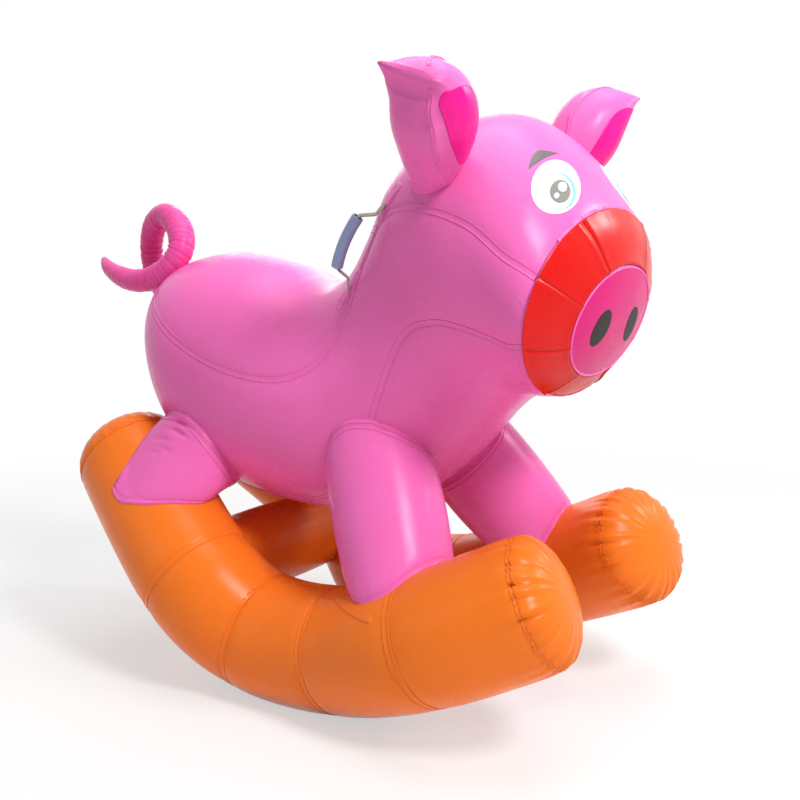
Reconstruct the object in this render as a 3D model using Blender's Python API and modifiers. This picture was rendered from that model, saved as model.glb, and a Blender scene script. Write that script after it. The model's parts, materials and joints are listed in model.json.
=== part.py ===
"""Inflatable rocking pig: coated fabric skins, welded edge to edge, on two inflated rocker tubes.

Metres. +X is forward, +Y is the pig's left and +Z is up. The origin is on the floor, under the middle.
"""

import math

import bmesh
import bpy
from mathutils import Matrix, Vector

# Fabric and welds
SKIN = 0.0009  # thickness of the coated fabric
WELD_GAP = 0.0003  # left between two pieces that lie flat on each other
SEAM_GAP = 0.0010  # left between two skins that meet edge to edge at an angle
RUN_GAP = 0.0004  # left between a piece that moves and its neighbour

# Rocker tubes: x, y and z of the tube's centre at each weld, from the rear cap to the front cap
TUBE_RADIUS = 0.137
TUBE_SIDES = 16
FLAT_HEIGHT = TUBE_RADIUS * math.cos(math.pi / TUBE_SIDES)  # puts the tube's lowest side on the floor
ROCKER_WELDS = (
    (-0.464, 0.222, 0.462),
    (-0.165, 0.304, 0.249),
    (-0.012, 0.264, FLAT_HEIGHT),
    (0.222, 0.262, FLAT_HEIGHT),
    (0.463, 0.296, 0.219),
    (0.684, 0.245, 0.324),
)
SLEEVE_STEPS = 3  # rings along each sleeve
REAR_CAP_DEPTH = 0.096  # how far each domed cap stands out of the tube's end
FRONT_CAP_DEPTH = 0.062
CAP_STEPS = 3

# Cross tube between the rockers
CROSS_RADIUS = 0.096
CROSS_X = -0.190
CROSS_HEIGHT = 0.250

# Body in side view, from the tail to the muzzle: the back line, the belly line, the half width, and how far
# round from the back each weld between two panels runs, in degrees
BODY_LINE = (
    # back x, back z, belly x, belly z, half width, upper weld, lower weld
    (-0.504, 0.894, -0.540, 0.846, 0.030, 72, 140),
    (-0.435, 0.950, -0.517, 0.770, 0.130, 72, 142),
    (-0.350, 0.975, -0.464, 0.630, 0.215, 73, 145),
    (-0.240, 0.982, -0.372, 0.490, 0.270, 75, 150),
    (-0.130, 0.960, -0.220, 0.410, 0.288, 77, 152),
    (-0.040, 0.927, -0.050, 0.380, 0.285, 77, 150),
    (0.032, 0.913, 0.120, 0.385, 0.272, 76, 142),
    (0.087, 0.927, 0.272, 0.445, 0.255, 73, 124),
    (0.133, 0.968, 0.395, 0.545, 0.245, 62, 107),
    (0.188, 1.058, 0.482, 0.640, 0.250, 51, 101),
    (0.254, 1.172, 0.530, 0.677, 0.270, 57, 109),
    (0.380, 1.257, 0.558, 0.685, 0.288, 71, 118),
    (0.520, 1.257, 0.582, 0.685, 0.293, 78, 122),
    (0.635, 1.175, 0.602, 0.687, 0.291, 80, 121),
    (0.710, 1.067, 0.616, 0.691, 0.284, 72, 113),
)
BODY_STEPS = 2  # rings from one line of the table to the next
PANEL_COLUMNS = {"back": 8, "flank": 5, "belly": 6}

# Muzzle cone and snout disc
DISC_CENTRE = (0.709, 0.847)  # x and z
DISC_TILT = 18.6  # degrees that the snout looks down
DISC_HALF_WIDTH = 0.169
DISC_HALF_HEIGHT = 0.119
DISC_CROWN = 0.016  # how far the disc swells
MUZZLE_SWELL = 0.012
MUZZLE_STEPS = 3
GORE_WELDS = (-32, 32, 72, 113, 154, 206, 247, 288)  # degrees from the top
GORE_COLUMNS = 3

# Legs: x, y and z of the axis where it meets the body and the rocker
FRONT_LEG = ((0.230, 0.145, 0.570), (0.384, 0.266, 0.290))
REAR_LEG = ((-0.212, 0.152, 0.585), (-0.270, 0.275, 0.400))
LEG_TOP_RADIUS = 0.118
LEG_FOOT_RADIUS = 0.112
LEG_SIDES = 16
LEG_STEPS = 3
LEG_INTO_BODY = 0.10  # length of the leg's axis beyond its upper point, before it is trimmed
LEG_INTO_ROCKER = 0.04

# Ears: x, y and z of the centre line, and the half sizes along the ear's closing weld and across it
EAR_LINE = (
    (0.408, 0.210, 1.070, 0.042, 0.042),
    (0.420, 0.232, 1.112, 0.046, 0.046),
    (0.452, 0.272, 1.166, 0.068, 0.066),
    (0.484, 0.315, 1.222, 0.080, 0.078),
    (0.502, 0.350, 1.268, 0.080, 0.070),
    (0.512, 0.388, 1.298, 0.077, 0.048),
    (0.516, 0.420, 1.308, 0.077, 0.010),
)
EAR_SIDES = 14
EAR_PATCH_TURN = 36  # degrees either side of straight ahead
EAR_PATCH_SPAN = (1.4, 5.0)  # counted along EAR_LINE
EAR_PATCH_STEPS = 4
EAR_PATCH_RISE = 0.0018  # how far the patch stands out of the ear
EAR_PATCH_DEPTH = 0.0060  # before it is trimmed to the ear
EAR_TOP_CROWN = 0.002

# Tail: x, y and z of the centre line, and the radius there
TAIL_LINE = (
    (-0.466, 0.000, 0.866, 0.042),
    (-0.532, 0.016, 0.870, 0.040),
    (-0.596, 0.028, 0.886, 0.035),
    (-0.634, 0.030, 0.936, 0.031),
    (-0.642, 0.028, 0.998, 0.031),
    (-0.610, 0.014, 1.054, 0.032),
    (-0.548, -0.004, 1.076, 0.033),
    (-0.480, -0.028, 1.046, 0.034),
    (-0.450, -0.048, 0.998, 0.034),
    (-0.466, -0.066, 0.952, 0.033),
    (-0.518, -0.078, 0.918, 0.032),
    (-0.588, -0.080, 0.908, 0.030),
    (-0.658, -0.072, 0.920, 0.026),
    (-0.718, -0.056, 0.940, 0.019),
    (-0.761, -0.034, 0.960, 0.010),
)
TAIL_SIDES = 9
TAIL_STEPS = 2

# Handles at the neck
HANDLE_LOW = 8.4  # where each pad sits, counted along BODY_LINE
HANDLE_HIGH = 9.8
HANDLE_ROUND = 52  # degrees round from the back
PAD_LENGTH = 0.080
PAD_WIDTH = 0.036
PAD_RISE = 0.003  # of the pad's flat face above the skin
PAD_SINK = 0.012  # from the skin inward, before the pad is trimmed to the skin
PIVOT_RISE = 0.010  # of the strap's pivot line above the pad's flat face
STRAP_WIDTH = 0.014
STRAP_THICKNESS = 0.0036
STRAP_STEPS = 6  # along each rising end of the strap
TAB_LENGTH = 0.024
GRIP_RISE = 0.040  # of the grip's middle above the pivot line
GRIP_BOW = 0.003  # how far its ends lie below its middle
GRIP_LENGTH = 0.120
GRIP_RADIUS = 0.0125
GRIP_WALL = 0.0040
GRIP_SIDES = 14
GRIP_STEPS = 5

# Inflation valves, measured from the fabric outward and inward
FLANGE_RADIUS = 0.0220
FLANGE_THICKNESS = 0.0020
BARREL_RADIUS = 0.0125
BARREL_WALL = 0.0022
BARREL_DEPTH = 0.0170  # inside the chamber
BARREL_RIM = 0.0035  # outside the flange
WEB_THICKNESS = 0.0024
AIR_HOLE_RADIUS = 0.0021
AIR_HOLES = 5
STEM_RADIUS = 0.0030
POPPET_RADIUS = 0.0096
POPPET_THICKNESS = 0.0020
BUTTON_RADIUS = 0.0085
BUTTON_THICKNESS = 0.0020
BUTTON_INSET = 0.0024  # of the button's face inside the rim
SPRING_RADIUS = 0.0054
SPRING_WIRE_RADIUS = 0.0004
SPRING_TURNS = 4
SPRING_POINTS = 8  # in each turn
LID_CLEARANCE = 0.0012
LID_WALL = 0.0016
LID_TOP = 0.0022
KNUCKLE_RADIUS = 0.0018
KNUCKLE_LENGTH = 0.0060
LUG_LENGTH = 0.0030
VALVE_SIDES = 16
BODY_VALVE_X = -0.010
BASE_VALVE_Y = 0.060

SHARP_ANGLE = 50  # degrees between faces that are shaded as an edge

COLOURS = {
    "pink": ((0.90, 0.25, 0.55, 1.0), 0.28),
    "orange": ((0.92, 0.25, 0.05, 1.0), 0.28),
    "red": ((0.76, 0.03, 0.02, 1.0), 0.25),
    "magenta": ((0.86, 0.03, 0.27, 1.0), 0.28),
    "webbing": ((0.62, 0.56, 0.44, 1.0), 0.85),
    "grip": ((0.30, 0.36, 0.62, 1.0), 0.45),
    "valve": ((0.72, 0.72, 0.70, 1.0), 0.40),
    "steel": ((0.60, 0.60, 0.62, 1.0), 0.30),
}


def clear_scene():
    for old in list(bpy.data.objects):
        bpy.data.objects.remove(old, do_unlink=True)


def make_collection(name):
    made = bpy.data.collections.new(name)
    bpy.context.scene.collection.children.link(made)
    return made


def make_material(name, colour):
    rgba, roughness = COLOURS[colour]
    material = bpy.data.materials.new(name)
    material.use_nodes = True
    shader = material.node_tree.nodes["Principled BSDF"]
    shader.inputs["Base Color"].default_value = rgba
    shader.inputs["Roughness"].default_value = roughness
    shader.inputs["Metallic"].default_value = 1.0 if colour == "steel" else 0.0
    return material


def add_object(name, mesh, colour, collection):
    made = bpy.data.objects.new(name, mesh)
    collection.objects.link(made)
    if colour:
        mesh.materials.append(make_material(name, colour))
        mesh.shade_smooth()
        mesh.set_sharp_from_angle(angle=math.radians(SHARP_ANGLE))
    else:
        made.hide_render = True
        made.display_type = "WIRE"
    return made


def smooth_values(rows, steps):
    """Rows of numbers with steps more rows put in between, on a curve through them all."""
    out = []
    for index in range(len(rows) - 1):
        near = [rows[max(index - 1, 0)], rows[index], rows[index + 1], rows[min(index + 2, len(rows) - 1)]]
        for step in range(steps):
            out.append(curve_row(near, step / steps))
    out.append(tuple(float(value) for value in rows[-1]))
    return out


def curve_row(near, t):
    before, start, end, after = near
    row = []
    for a, b, c, d in zip(before, start, end, after):
        row.append(0.5 * (2 * b + (c - a) * t + (2 * a - 5 * b + 4 * c - d) * t**2 + (3 * b - a - 3 * c + d) * t**3))
    return tuple(row)


def row_at(rows, place):
    index = min(int(place), len(rows) - 2)
    near = [rows[max(index - 1, 0)], rows[index], rows[index + 1], rows[min(index + 2, len(rows) - 1)]]
    return curve_row(near, place - index)


def skin_mesh(name, rings, centres, closed_round, tip=None, tail=None, halves=False):
    """A surface through rings of points that faces away from its centres, with an optional point at each end.

    Where it has two mirrored halves, the triangles on the left mirror those on the right.
    """
    verts = [point for ring in rings for point in ring]
    count = len(rings[0])
    faces = []
    for row in range(len(rings) - 1):
        for column in range(count if closed_round else count - 1):
            here = row * count + column
            beside = row * count + (column + 1) % count
            if halves and verts[here].y + verts[beside].y > 0:
                faces.append((here, beside, here + count))
                faces.append((beside, beside + count, here + count))
            else:
                faces.append((here, beside, beside + count))
                faces.append((here, beside + count, here + count))
    for end, start in ((tail, 0), (tip, (len(rings) - 1) * count)):
        if end is None:
            continue
        verts.append(end)
        for column in range(count):
            pair = (start + column, start + (column + 1) % count)
            order = pair if end is tip else pair[::-1]
            faces.append((order[0], order[1], len(verts) - 1))
    a, b, c = (verts[index] for index in faces[0][:3])
    outward = (b - a).cross(c - b).dot((a + c) / 2 - centres[0].lerp(centres[1], 0.5)) > 0
    if not outward:
        faces = [face[::-1] for face in faces]
    mesh = bpy.data.meshes.new(name)
    mesh.from_pydata(verts, [], faces)
    return mesh


def add_skin(name, rings, centres, colour, closed_round=True, tip=None, thickness=SKIN, halves=False):
    mesh = skin_mesh(name, rings, centres, closed_round, tip, halves=halves)
    made = add_object(name, mesh, colour, PARTS)
    solid = made.modifiers.new("thickness", "SOLIDIFY")
    solid.thickness = thickness
    solid.offset = -1.0
    solid.use_even_offset = True
    return made


def add_cutter(name, rings, centres, halves=False):
    """A closed solid through the rings, with a point in the middle of each end."""
    ends = [sum(ring, Vector()) / len(ring) for ring in (rings[0], rings[-1])]
    mesh = skin_mesh(name, rings, centres, True, tip=ends[1], tail=ends[0], halves=halves)
    return add_object(name, mesh, None, CUTTERS)


def cut(target, cutter):
    boolean = target.modifiers.new("cut by " + cutter.name, "BOOLEAN")
    boolean.operation = "DIFFERENCE"
    boolean.solver = "EXACT"
    boolean.object = cutter


def mirror_y(points, side):
    return [Vector((point[0], side * point[1], point[2])) for point in points]


def frame_along(points, index):
    """The way along a line of points and two directions square to it, the first one level."""
    before = points[max(index - 1, 0)]
    after = points[min(index + 1, len(points) - 1)]
    along = (after - before).normalized()
    level = Vector((0.0, 0.0, 1.0)).cross(along).normalized()
    return along, level, along.cross(level).normalized()


def round_ring(centre, level, upright, radius, sides, turn=0.0):
    ring = []
    for index in range(sides):
        angle = turn + math.tau * index / sides
        ring.append(centre + level * (radius * math.cos(angle)) + upright * (radius * math.sin(angle)))
    return ring


# Rockers


def rocker_rings(side, extra=0.0):
    """Rings of a rocker tube, with the places where its sleeves meet."""
    line = smooth_values(ROCKER_WELDS, SLEEVE_STEPS)
    points = mirror_y(line, side)
    rings = []
    for index in range(len(points)):
        along, level, upright = frame_along(points, index)
        ring = round_ring(points[index], level, upright, TUBE_RADIUS + extra, TUBE_SIDES, math.pi / TUBE_SIDES)
        rings.append([Vector((p.x, p.y, max(p.z, -extra))) for p in ring])
    return points, rings


def cap_rings(points, rings, at_front):
    """Rings of a domed cap and its middle point, from the tube's end outward."""
    index = len(points) - 1 if at_front else 0
    along, level, upright = frame_along(points, index)
    outward = along if at_front else -along
    depth = FRONT_CAP_DEPTH if at_front else REAR_CAP_DEPTH
    centre = points[index]
    domed = []
    for step in range(CAP_STEPS):
        turn = 0.5 * math.pi * step / CAP_STEPS
        shift = outward * (depth * math.sin(turn) + SEAM_GAP)
        domed.append([centre + (point - centre) * math.cos(turn) + shift for point in rings[index]])
    return domed, centre + outward * (depth + SEAM_GAP)


def build_rocker(side, word):
    points, rings = rocker_rings(side)
    sleeves = len(ROCKER_WELDS) - 1
    for sleeve in range(sleeves):
        first = sleeve * SLEEVE_STEPS
        last = first + SLEEVE_STEPS
        part = [list(ring) for ring in rings[first:last + 1]]
        for end, index, sign in ((0, first, 1), (-1, last, -1)):
            along = frame_along(points, index)[0]
            part[end] = [point + along * (sign * SEAM_GAP / 2) for point in part[end]]
        add_skin(f"{word}_rocker_sleeve_{sleeve + 1}", part, points[first:last + 1], "orange")
    for at_front, place in ((False, "rear"), (True, "front")):
        domed, tip = cap_rings(points, rings, at_front)
        centres = [sum(ring, Vector()) / len(ring) for ring in domed]
        add_skin(f"{word}_rocker_{place}_cap", domed, centres, "orange", tip=tip)


def rocker_cutter(side, word):
    points, rings = rocker_rings(side, SEAM_GAP)
    return add_cutter(f"{word} rocker outline", rings, points)


def build_cross_tube(cutters):
    reach = max(abs(weld[1]) for weld in ROCKER_WELDS[:3])
    points = [Vector((CROSS_X, reach * (step / 2 - 1), CROSS_HEIGHT)) for step in range(5)]
    rings = []
    for index in range(len(points)):
        along, level, upright = frame_along(points, index)
        rings.append(round_ring(points[index], level, upright, CROSS_RADIUS, TUBE_SIDES, math.pi / TUBE_SIDES))
    tube = add_skin("cross_tube", rings, points, "orange")
    for cutter in cutters:
        cut(tube, cutter)
    return tube


# Body


def body_point(row, degrees, extra=0.0):
    """A point on the body, so many degrees round from the back; its right side is 0 to 180."""
    back = Vector((row[0], 0.0, row[1]))
    belly = Vector((row[2], 0.0, row[3]))
    centre = (back + belly) / 2
    up = (back - belly).normalized()
    turn = math.radians(degrees)
    half_height = (back - belly).length / 2 + extra
    half_width = row[4] + extra
    return centre + up * (half_height * math.cos(turn)) - Vector((0.0, half_width * math.sin(turn), 0.0))


def body_normal(place, degrees):
    row = row_at(BODY_LINE, place)
    step = 0.05
    round_way = body_point(row, degrees + 1) - body_point(row, degrees - 1)
    ahead = body_point(row_at(BODY_LINE, place + step), degrees)
    behind = body_point(row_at(BODY_LINE, place - step), degrees)
    return round_way.cross(ahead - behind).normalized()


def row_centre(row):
    return Vector(((row[0] + row[2]) / 2, 0.0, (row[1] + row[3]) / 2))


def weld_inset(row):
    """Half a seam's gap as degrees round the body."""
    return math.degrees(SEAM_GAP / 2 / row[4])


def panel_columns(row, panel):
    upper, lower = row[5], row[6]
    spans = {
        "back": (-upper, upper),
        "right_flank": (upper, lower),
        "belly": (lower, 360 - lower),
        "left_flank": (360 - lower, 360 - upper),
    }
    start, end = spans[panel]
    count = PANEL_COLUMNS[panel.split("_")[-1]]
    return [start + (end - start) * column / count for column in range(count + 1)]


def body_rows():
    return smooth_values(BODY_LINE, BODY_STEPS)


def build_body_panels():
    rows = body_rows()
    centres = [row_centre(row) for row in rows]
    made = {}
    for panel in ("back", "right_flank", "belly", "left_flank"):
        rings = []
        for row in rows:
            columns = panel_columns(row, panel)
            inset = weld_inset(row)
            columns[0] += inset
            columns[-1] -= inset
            rings.append([body_point(row, degrees) for degrees in columns])
        made[panel] = add_skin(f"{panel}_panel", rings, centres, "pink", closed_round=False, halves=True)
    return made


def body_cutter():
    rows = body_rows()
    rings = []
    for row in rows:
        degrees = []
        for panel in ("back", "right_flank", "belly", "left_flank"):
            degrees += panel_columns(row, panel)[:-1]
        rings.append([body_point(row, angle, RUN_GAP) for angle in degrees])
    return add_cutter("body outline", rings, [row_centre(row) for row in rows], True)


def oval_ring(centre, up, half_width, half_height, angles):
    ring = []
    for degrees in angles:
        turn = math.radians(degrees)
        ring.append(centre + up * (half_height * math.cos(turn)) - Vector((0.0, half_width * math.sin(turn), 0.0)))
    return ring


def muzzle_row(t):
    """Centre, up direction and half sizes of the muzzle, from the face at 0 to the snout at 1."""
    last = BODY_LINE[-1]
    face_up = (Vector((last[0], 0.0, last[1])) - Vector((last[2], 0.0, last[3])))
    tilt = math.radians(DISC_TILT)
    disc_up = Vector((math.sin(tilt), 0.0, math.cos(tilt)))
    disc = Vector((DISC_CENTRE[0], 0.0, DISC_CENTRE[1]))
    swell = MUZZLE_SWELL * 4 * t * (1 - t)
    centre = row_centre(last).lerp(disc, t)
    up = face_up.normalized().lerp(disc_up, t).normalized()
    half_width = last[4] + (DISC_HALF_WIDTH - last[4]) * t + swell
    half_height = face_up.length / 2 + (DISC_HALF_HEIGHT - face_up.length / 2) * t + swell
    return centre, up, half_width, half_height


def build_muzzle():
    tilt = math.radians(DISC_TILT)
    forward = Vector((math.cos(tilt), 0.0, -math.sin(tilt)))
    welds = list(GORE_WELDS) + [GORE_WELDS[0] + 360]
    for gore in range(len(GORE_WELDS)):
        rings = []
        centres = []
        for step in range(MUZZLE_STEPS + 1):
            centre, up, half_width, half_height = muzzle_row(step / MUZZLE_STEPS)
            shift = forward * (SEAM_GAP if step == 0 else 0.0)
            inset = math.degrees(SEAM_GAP / 2 / half_height)
            start = welds[gore] + inset
            end = welds[gore + 1] - inset
            angles = [start + (end - start) * column / GORE_COLUMNS for column in range(GORE_COLUMNS + 1)]
            rings.append([point + shift for point in oval_ring(centre, up, half_width, half_height, angles)])
            centres.append(centre)
        add_skin(f"muzzle_gore_{gore + 1}", rings, centres, "red", closed_round=False, halves=True)
    build_snout_disc(forward)


def build_snout_disc(forward):
    centre, up, half_width, half_height = muzzle_row(1.0)
    sides = len(GORE_WELDS) * GORE_COLUMNS
    angles = [360 * index / sides for index in range(sides)]
    rings = []
    for step in range(4):
        turn = 0.5 * math.pi * step / 4
        shift = forward * (SEAM_GAP + DISC_CROWN * math.sin(turn))
        shrink = math.cos(turn)
        rings.append([p + shift for p in oval_ring(centre, up, half_width * shrink, half_height * shrink, angles)])
    tip = centre + forward * (SEAM_GAP + DISC_CROWN)
    centres = [centre - forward * DISC_CROWN, centre - forward * DISC_CROWN]
    add_skin("snout_disc", rings, centres, "magenta", tip=tip, halves=True)


# Legs, ears and tail


def build_leg(name, line, side, cutters):
    top, foot = mirror_y(line, side)
    along = (foot - top).normalized()
    start = top - along * LEG_INTO_BODY
    end = foot + along * LEG_INTO_ROCKER
    level = along.cross(Vector((0.0, 1.0, 0.0))).normalized()
    across = along.cross(level).normalized()
    rings = []
    centres = []
    for step in range(LEG_STEPS + 1):
        t = step / LEG_STEPS
        centre = start.lerp(end, t)
        radius = LEG_TOP_RADIUS + (LEG_FOOT_RADIUS - LEG_TOP_RADIUS) * t
        rings.append(round_ring(centre, level, across, radius, LEG_SIDES))
        centres.append(centre)
    leg = add_skin(name, rings, centres, "pink")
    for cutter in cutters:
        cut(leg, cutter)


def ear_rings(side, rows, turns, extra=0.0):
    """Centre line of an ear and its rings, the first direction of each being its front."""
    points = mirror_y(rows, side)
    rings = []
    for index, row in enumerate(rows):
        along = frame_along(points, index)[0]
        front = Vector((1.0, 0.0, 0.0))
        front = (front - along * front.dot(along)).normalized()
        wide = along.cross(front) * side
        ring = []
        for turn in turns:
            ring.append(points[index] + front * ((row[3] + extra) * math.cos(turn))
                        + wide * ((row[4] + extra) * math.sin(turn)))
        rings.append(ring)
    return points, rings


def build_ear(side, word, cutter):
    turns = [math.tau * index / EAR_SIDES for index in range(EAR_SIDES)]
    points, rings = ear_rings(side, EAR_LINE, turns)
    along = frame_along(points, len(points) - 1)[0]
    ear = add_skin(f"{word}_ear", rings, points, "pink", tip=points[-1] + along * EAR_TOP_CROWN)
    cut(ear, cutter)
    points, rings = ear_rings(side, EAR_LINE, turns, RUN_GAP)
    ear_outline = add_cutter(f"{word} ear outline", rings, points)
    low, high = EAR_PATCH_SPAN
    rows = [row_at(EAR_LINE, low + (high - low) * step / EAR_PATCH_STEPS) for step in range(EAR_PATCH_STEPS + 1)]
    turns = [math.radians(EAR_PATCH_TURN * (column / 2 - 1)) for column in range(5)]
    points, rings = ear_rings(side, rows, turns, RUN_GAP + EAR_PATCH_RISE)
    patch = add_skin(f"{word}_ear_inner_patch", rings, points, "magenta", False, thickness=EAR_PATCH_DEPTH)
    for outline in (cutter, ear_outline):
        cut(patch, outline)


def build_tail(cutter):
    rows = smooth_values(TAIL_LINE, TAIL_STEPS)
    points = [Vector(row[:3]) for row in rows]
    level = Vector((0.0, 1.0, 0.0))
    rings = []
    for index, row in enumerate(rows):
        along = frame_along(points, index)[0]
        level = (level - along * level.dot(along)).normalized()
        rings.append(round_ring(points[index], level, along.cross(level), row[3], TAIL_SIDES))
    along = frame_along(points, len(points) - 1)[0]
    tail = add_skin("tail", rings, points, "pink", tip=points[-1] + along * TAIL_LINE[-1][3])
    cut(tail, cutter)


# Handles


def frame_matrix(origin, x_way, z_way):
    """Local axes at a point: the first one exact, the third as near to its direction as it can be."""
    x_axis = x_way.normalized()
    y_axis = z_way.cross(x_axis).normalized()
    z_axis = x_axis.cross(y_axis)
    matrix = Matrix((x_axis, y_axis, z_axis)).transposed().to_4x4()
    matrix.translation = origin
    return matrix


def plate_mesh(name, outline, half_width):
    """A flat outline in x and z, as a solid that reaches half its width to either side along y."""
    data = bpy.data.curves.new(name, "CURVE")
    data.dimensions = "2D"
    data.fill_mode = "BOTH"
    data.extrude = half_width
    spline = data.splines.new("POLY")
    spline.points.add(len(outline) - 1)
    for point, (x, z) in zip(spline.points, outline):
        point.co = (x, z, 0.0, 1.0)
    spline.use_cyclic_u = True
    curve = bpy.data.objects.new(name, data)
    bpy.context.scene.collection.objects.link(curve)
    bpy.context.view_layer.update()
    mesh = bpy.data.meshes.new_from_object(curve.evaluated_get(bpy.context.evaluated_depsgraph_get()))
    bpy.data.objects.remove(curve)
    upright = Matrix(((1.0, 0.0, 0.0), (0.0, 0.0, -1.0), (0.0, 1.0, 0.0)))
    shape = bmesh.new()
    shape.from_mesh(mesh)
    bmesh.ops.remove_doubles(shape, verts=shape.verts, dist=0.00001)
    bmesh.ops.transform(shape, matrix=upright.to_4x4(), verts=shape.verts)
    bmesh.ops.recalc_face_normals(shape, faces=shape.faces)
    shape.to_mesh(mesh)
    shape.free()
    mesh.name = name
    return mesh


def skin_point(cutter, side, place):
    """Where a handle's pad sits on the faceted body, and the way out of the body there."""
    here = body_point(row_at(BODY_LINE, place), -side * HANDLE_ROUND)
    outward = body_normal(place, -side * HANDLE_ROUND)
    reach = 0.05
    hit, spot, _, _ = cutter.ray_cast(here + outward * reach, -outward)
    return (spot if hit else here), outward


def ribbon_outline(path):
    """Both sides of a ribbon that follows a path in x and z."""
    upper = []
    lower = []
    for index, (x, z) in enumerate(path):
        before = path[max(index - 1, 0)]
        after = path[min(index + 1, len(path) - 1)]
        length = math.dist(before, after)
        slope_x = (after[0] - before[0]) / length
        slope_z = (after[1] - before[1]) / length
        if index in (0, len(path) - 1):
            slope_x, slope_z = math.copysign(1.0, slope_x), 0.0
        half = STRAP_THICKNESS / 2
        upper.append((x - slope_z * half, z + slope_x * half))
        lower.append((x + slope_z * half, z - slope_x * half))
    return upper + lower[::-1]


def grip_height(x, length):
    """Height of the grip's centre line above the pivot line."""
    share = (x - length / 2) / (GRIP_LENGTH / 2)
    return GRIP_RISE - GRIP_BOW * share**2


def strap_path(length):
    start = (length - GRIP_LENGTH) / 2
    rise = []
    for step in range(STRAP_STEPS + 1):
        t = step / STRAP_STEPS
        ease = t * t * (3 - 2 * t)
        rise.append((RUN_GAP + (start - RUN_GAP) * t, grip_height(start, length) * ease))
    middle = []
    for step in range(1, GRIP_STEPS):
        x = start + GRIP_LENGTH * step / GRIP_STEPS
        middle.append((x, grip_height(x, length)))
    fall = [(length - x, z) for x, z in rise[::-1]]
    return rise + middle + fall


def build_strap(word, matrix, length):
    mesh = plate_mesh(f"{word}_handle_strap", ribbon_outline(strap_path(length)), STRAP_WIDTH / 2)
    strap = add_object(f"{word}_handle_strap", mesh, "webbing", PARTS)
    strap.matrix_world = matrix


def build_grip(word, matrix, length):
    points = []
    for step in range(GRIP_STEPS + 1):
        x = (length - GRIP_LENGTH) / 2 + GRIP_LENGTH * step / GRIP_STEPS
        points.append(Vector((x, 0.0, grip_height(x, length))))
    rings = []
    for index in range(len(points)):
        along, level, upright = frame_along(points, index)
        rings.append(round_ring(points[index], level, upright, GRIP_RADIUS, GRIP_SIDES))
    grip = add_skin(f"{word}_handle_grip", rings, points, "grip", thickness=GRIP_WALL)
    grip.matrix_world = matrix


def pad_outline():
    """A strip with round ends."""
    straight = (PAD_LENGTH - PAD_WIDTH) / 2
    outline = []
    for centre, first in ((straight, -90), (-straight, 90)):
        for step in range(7):
            turn = math.radians(first + 30 * step)
            outline.append((centre + PAD_WIDTH / 2 * math.cos(turn), PAD_WIDTH / 2 * math.sin(turn)))
    return outline


def build_pad(name, spot, outward, chord, cutter):
    """A pad of fabric on the skin. Its outline lies in x and z, so its way out is -y here."""
    depth = (PAD_RISE + PAD_SINK) / 2
    mesh = plate_mesh(name, pad_outline(), depth)
    along = (chord - outward * chord.dot(outward)).normalized()
    pad = add_object(name, mesh, "pink", PARTS)
    pad.matrix_world = frame_matrix(spot + outward * (PAD_RISE - depth), along, outward.cross(along))
    cut(pad, cutter)


def build_tab(name, matrix, foot, start, turn_back):
    """The fixed end of the webbing, from the pad's flat face up to the pivot line."""
    path = []
    for step in range(STRAP_STEPS + 1):
        t = step / STRAP_STEPS
        ease = t * t * (3 - 2 * t)
        path.append((start + turn_back * TAB_LENGTH * t, foot * ease))
    outline = ribbon_outline(path)
    mesh = plate_mesh(name, outline, STRAP_WIDTH / 2)
    tab = add_object(name, mesh, "webbing", PARTS)
    tab.matrix_world = matrix


def build_handle(side, word, cutter):
    low, low_out = skin_point(cutter, side, HANDLE_LOW)
    high, high_out = skin_point(cutter, side, HANDLE_HIGH)
    rise = PAD_RISE + PIVOT_RISE
    low_pivot = low + low_out * rise
    high_pivot = high + high_out * rise
    chord = high_pivot - low_pivot
    outward = (low_out + high_out).normalized()
    matrix = frame_matrix(low_pivot, chord, outward)
    build_strap(word, matrix, chord.length)
    build_grip(word, matrix, chord.length)
    for place, spot, out, turn_back, start in (
            ("lower", low, low_out, -1, 0.0), ("upper", high, high_out, 1, chord.length)):
        shift = chord.normalized() * (turn_back * TAB_LENGTH)
        shift -= out * shift.dot(out)
        build_pad(f"{word}_handle_{place}_pad", spot + shift, out, chord, cutter)
        inner = matrix.inverted()
        end = inner @ (spot + shift + out * (PAD_RISE + WELD_GAP + STRAP_THICKNESS / 2))
        build_tab(f"{word}_handle_{place}_tab", matrix, end.z, start, turn_back)


# Valves


def turned(name, profile, origin, colour, collection):
    """A profile of radius and height, from the top of its outer side down, turned about Z."""
    mesh = bpy.data.meshes.new(name)
    verts = [(radius, 0.0, height) for radius, height in profile]
    edges = [(index, (index + 1) % len(verts)) for index in range(len(verts))]
    if profile[0][0] < SKIN and profile[-1][0] < SKIN:
        edges.pop()
    mesh.from_pydata(verts, edges, [])
    made = add_object(name, mesh, colour, collection)
    made.location = origin
    screw = made.modifiers.new("turn", "SCREW")
    screw.steps = VALVE_SIDES
    screw.render_steps = VALVE_SIDES
    screw.use_merge_vertices = True
    screw.merge_threshold = 0.00001
    screw.use_smooth_shade = True
    return made


def add_block(name, low, high):
    mesh = bpy.data.meshes.new(name)
    shape = bmesh.new()
    bmesh.ops.create_cube(shape, size=1.0)
    size = Vector(high) - Vector(low)
    bmesh.ops.scale(shape, vec=size, verts=shape.verts)
    bmesh.ops.translate(shape, vec=(Vector(high) + Vector(low)) / 2, verts=shape.verts)
    shape.to_mesh(mesh)
    shape.free()
    return add_object(name, mesh, None, CUTTERS)


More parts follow.
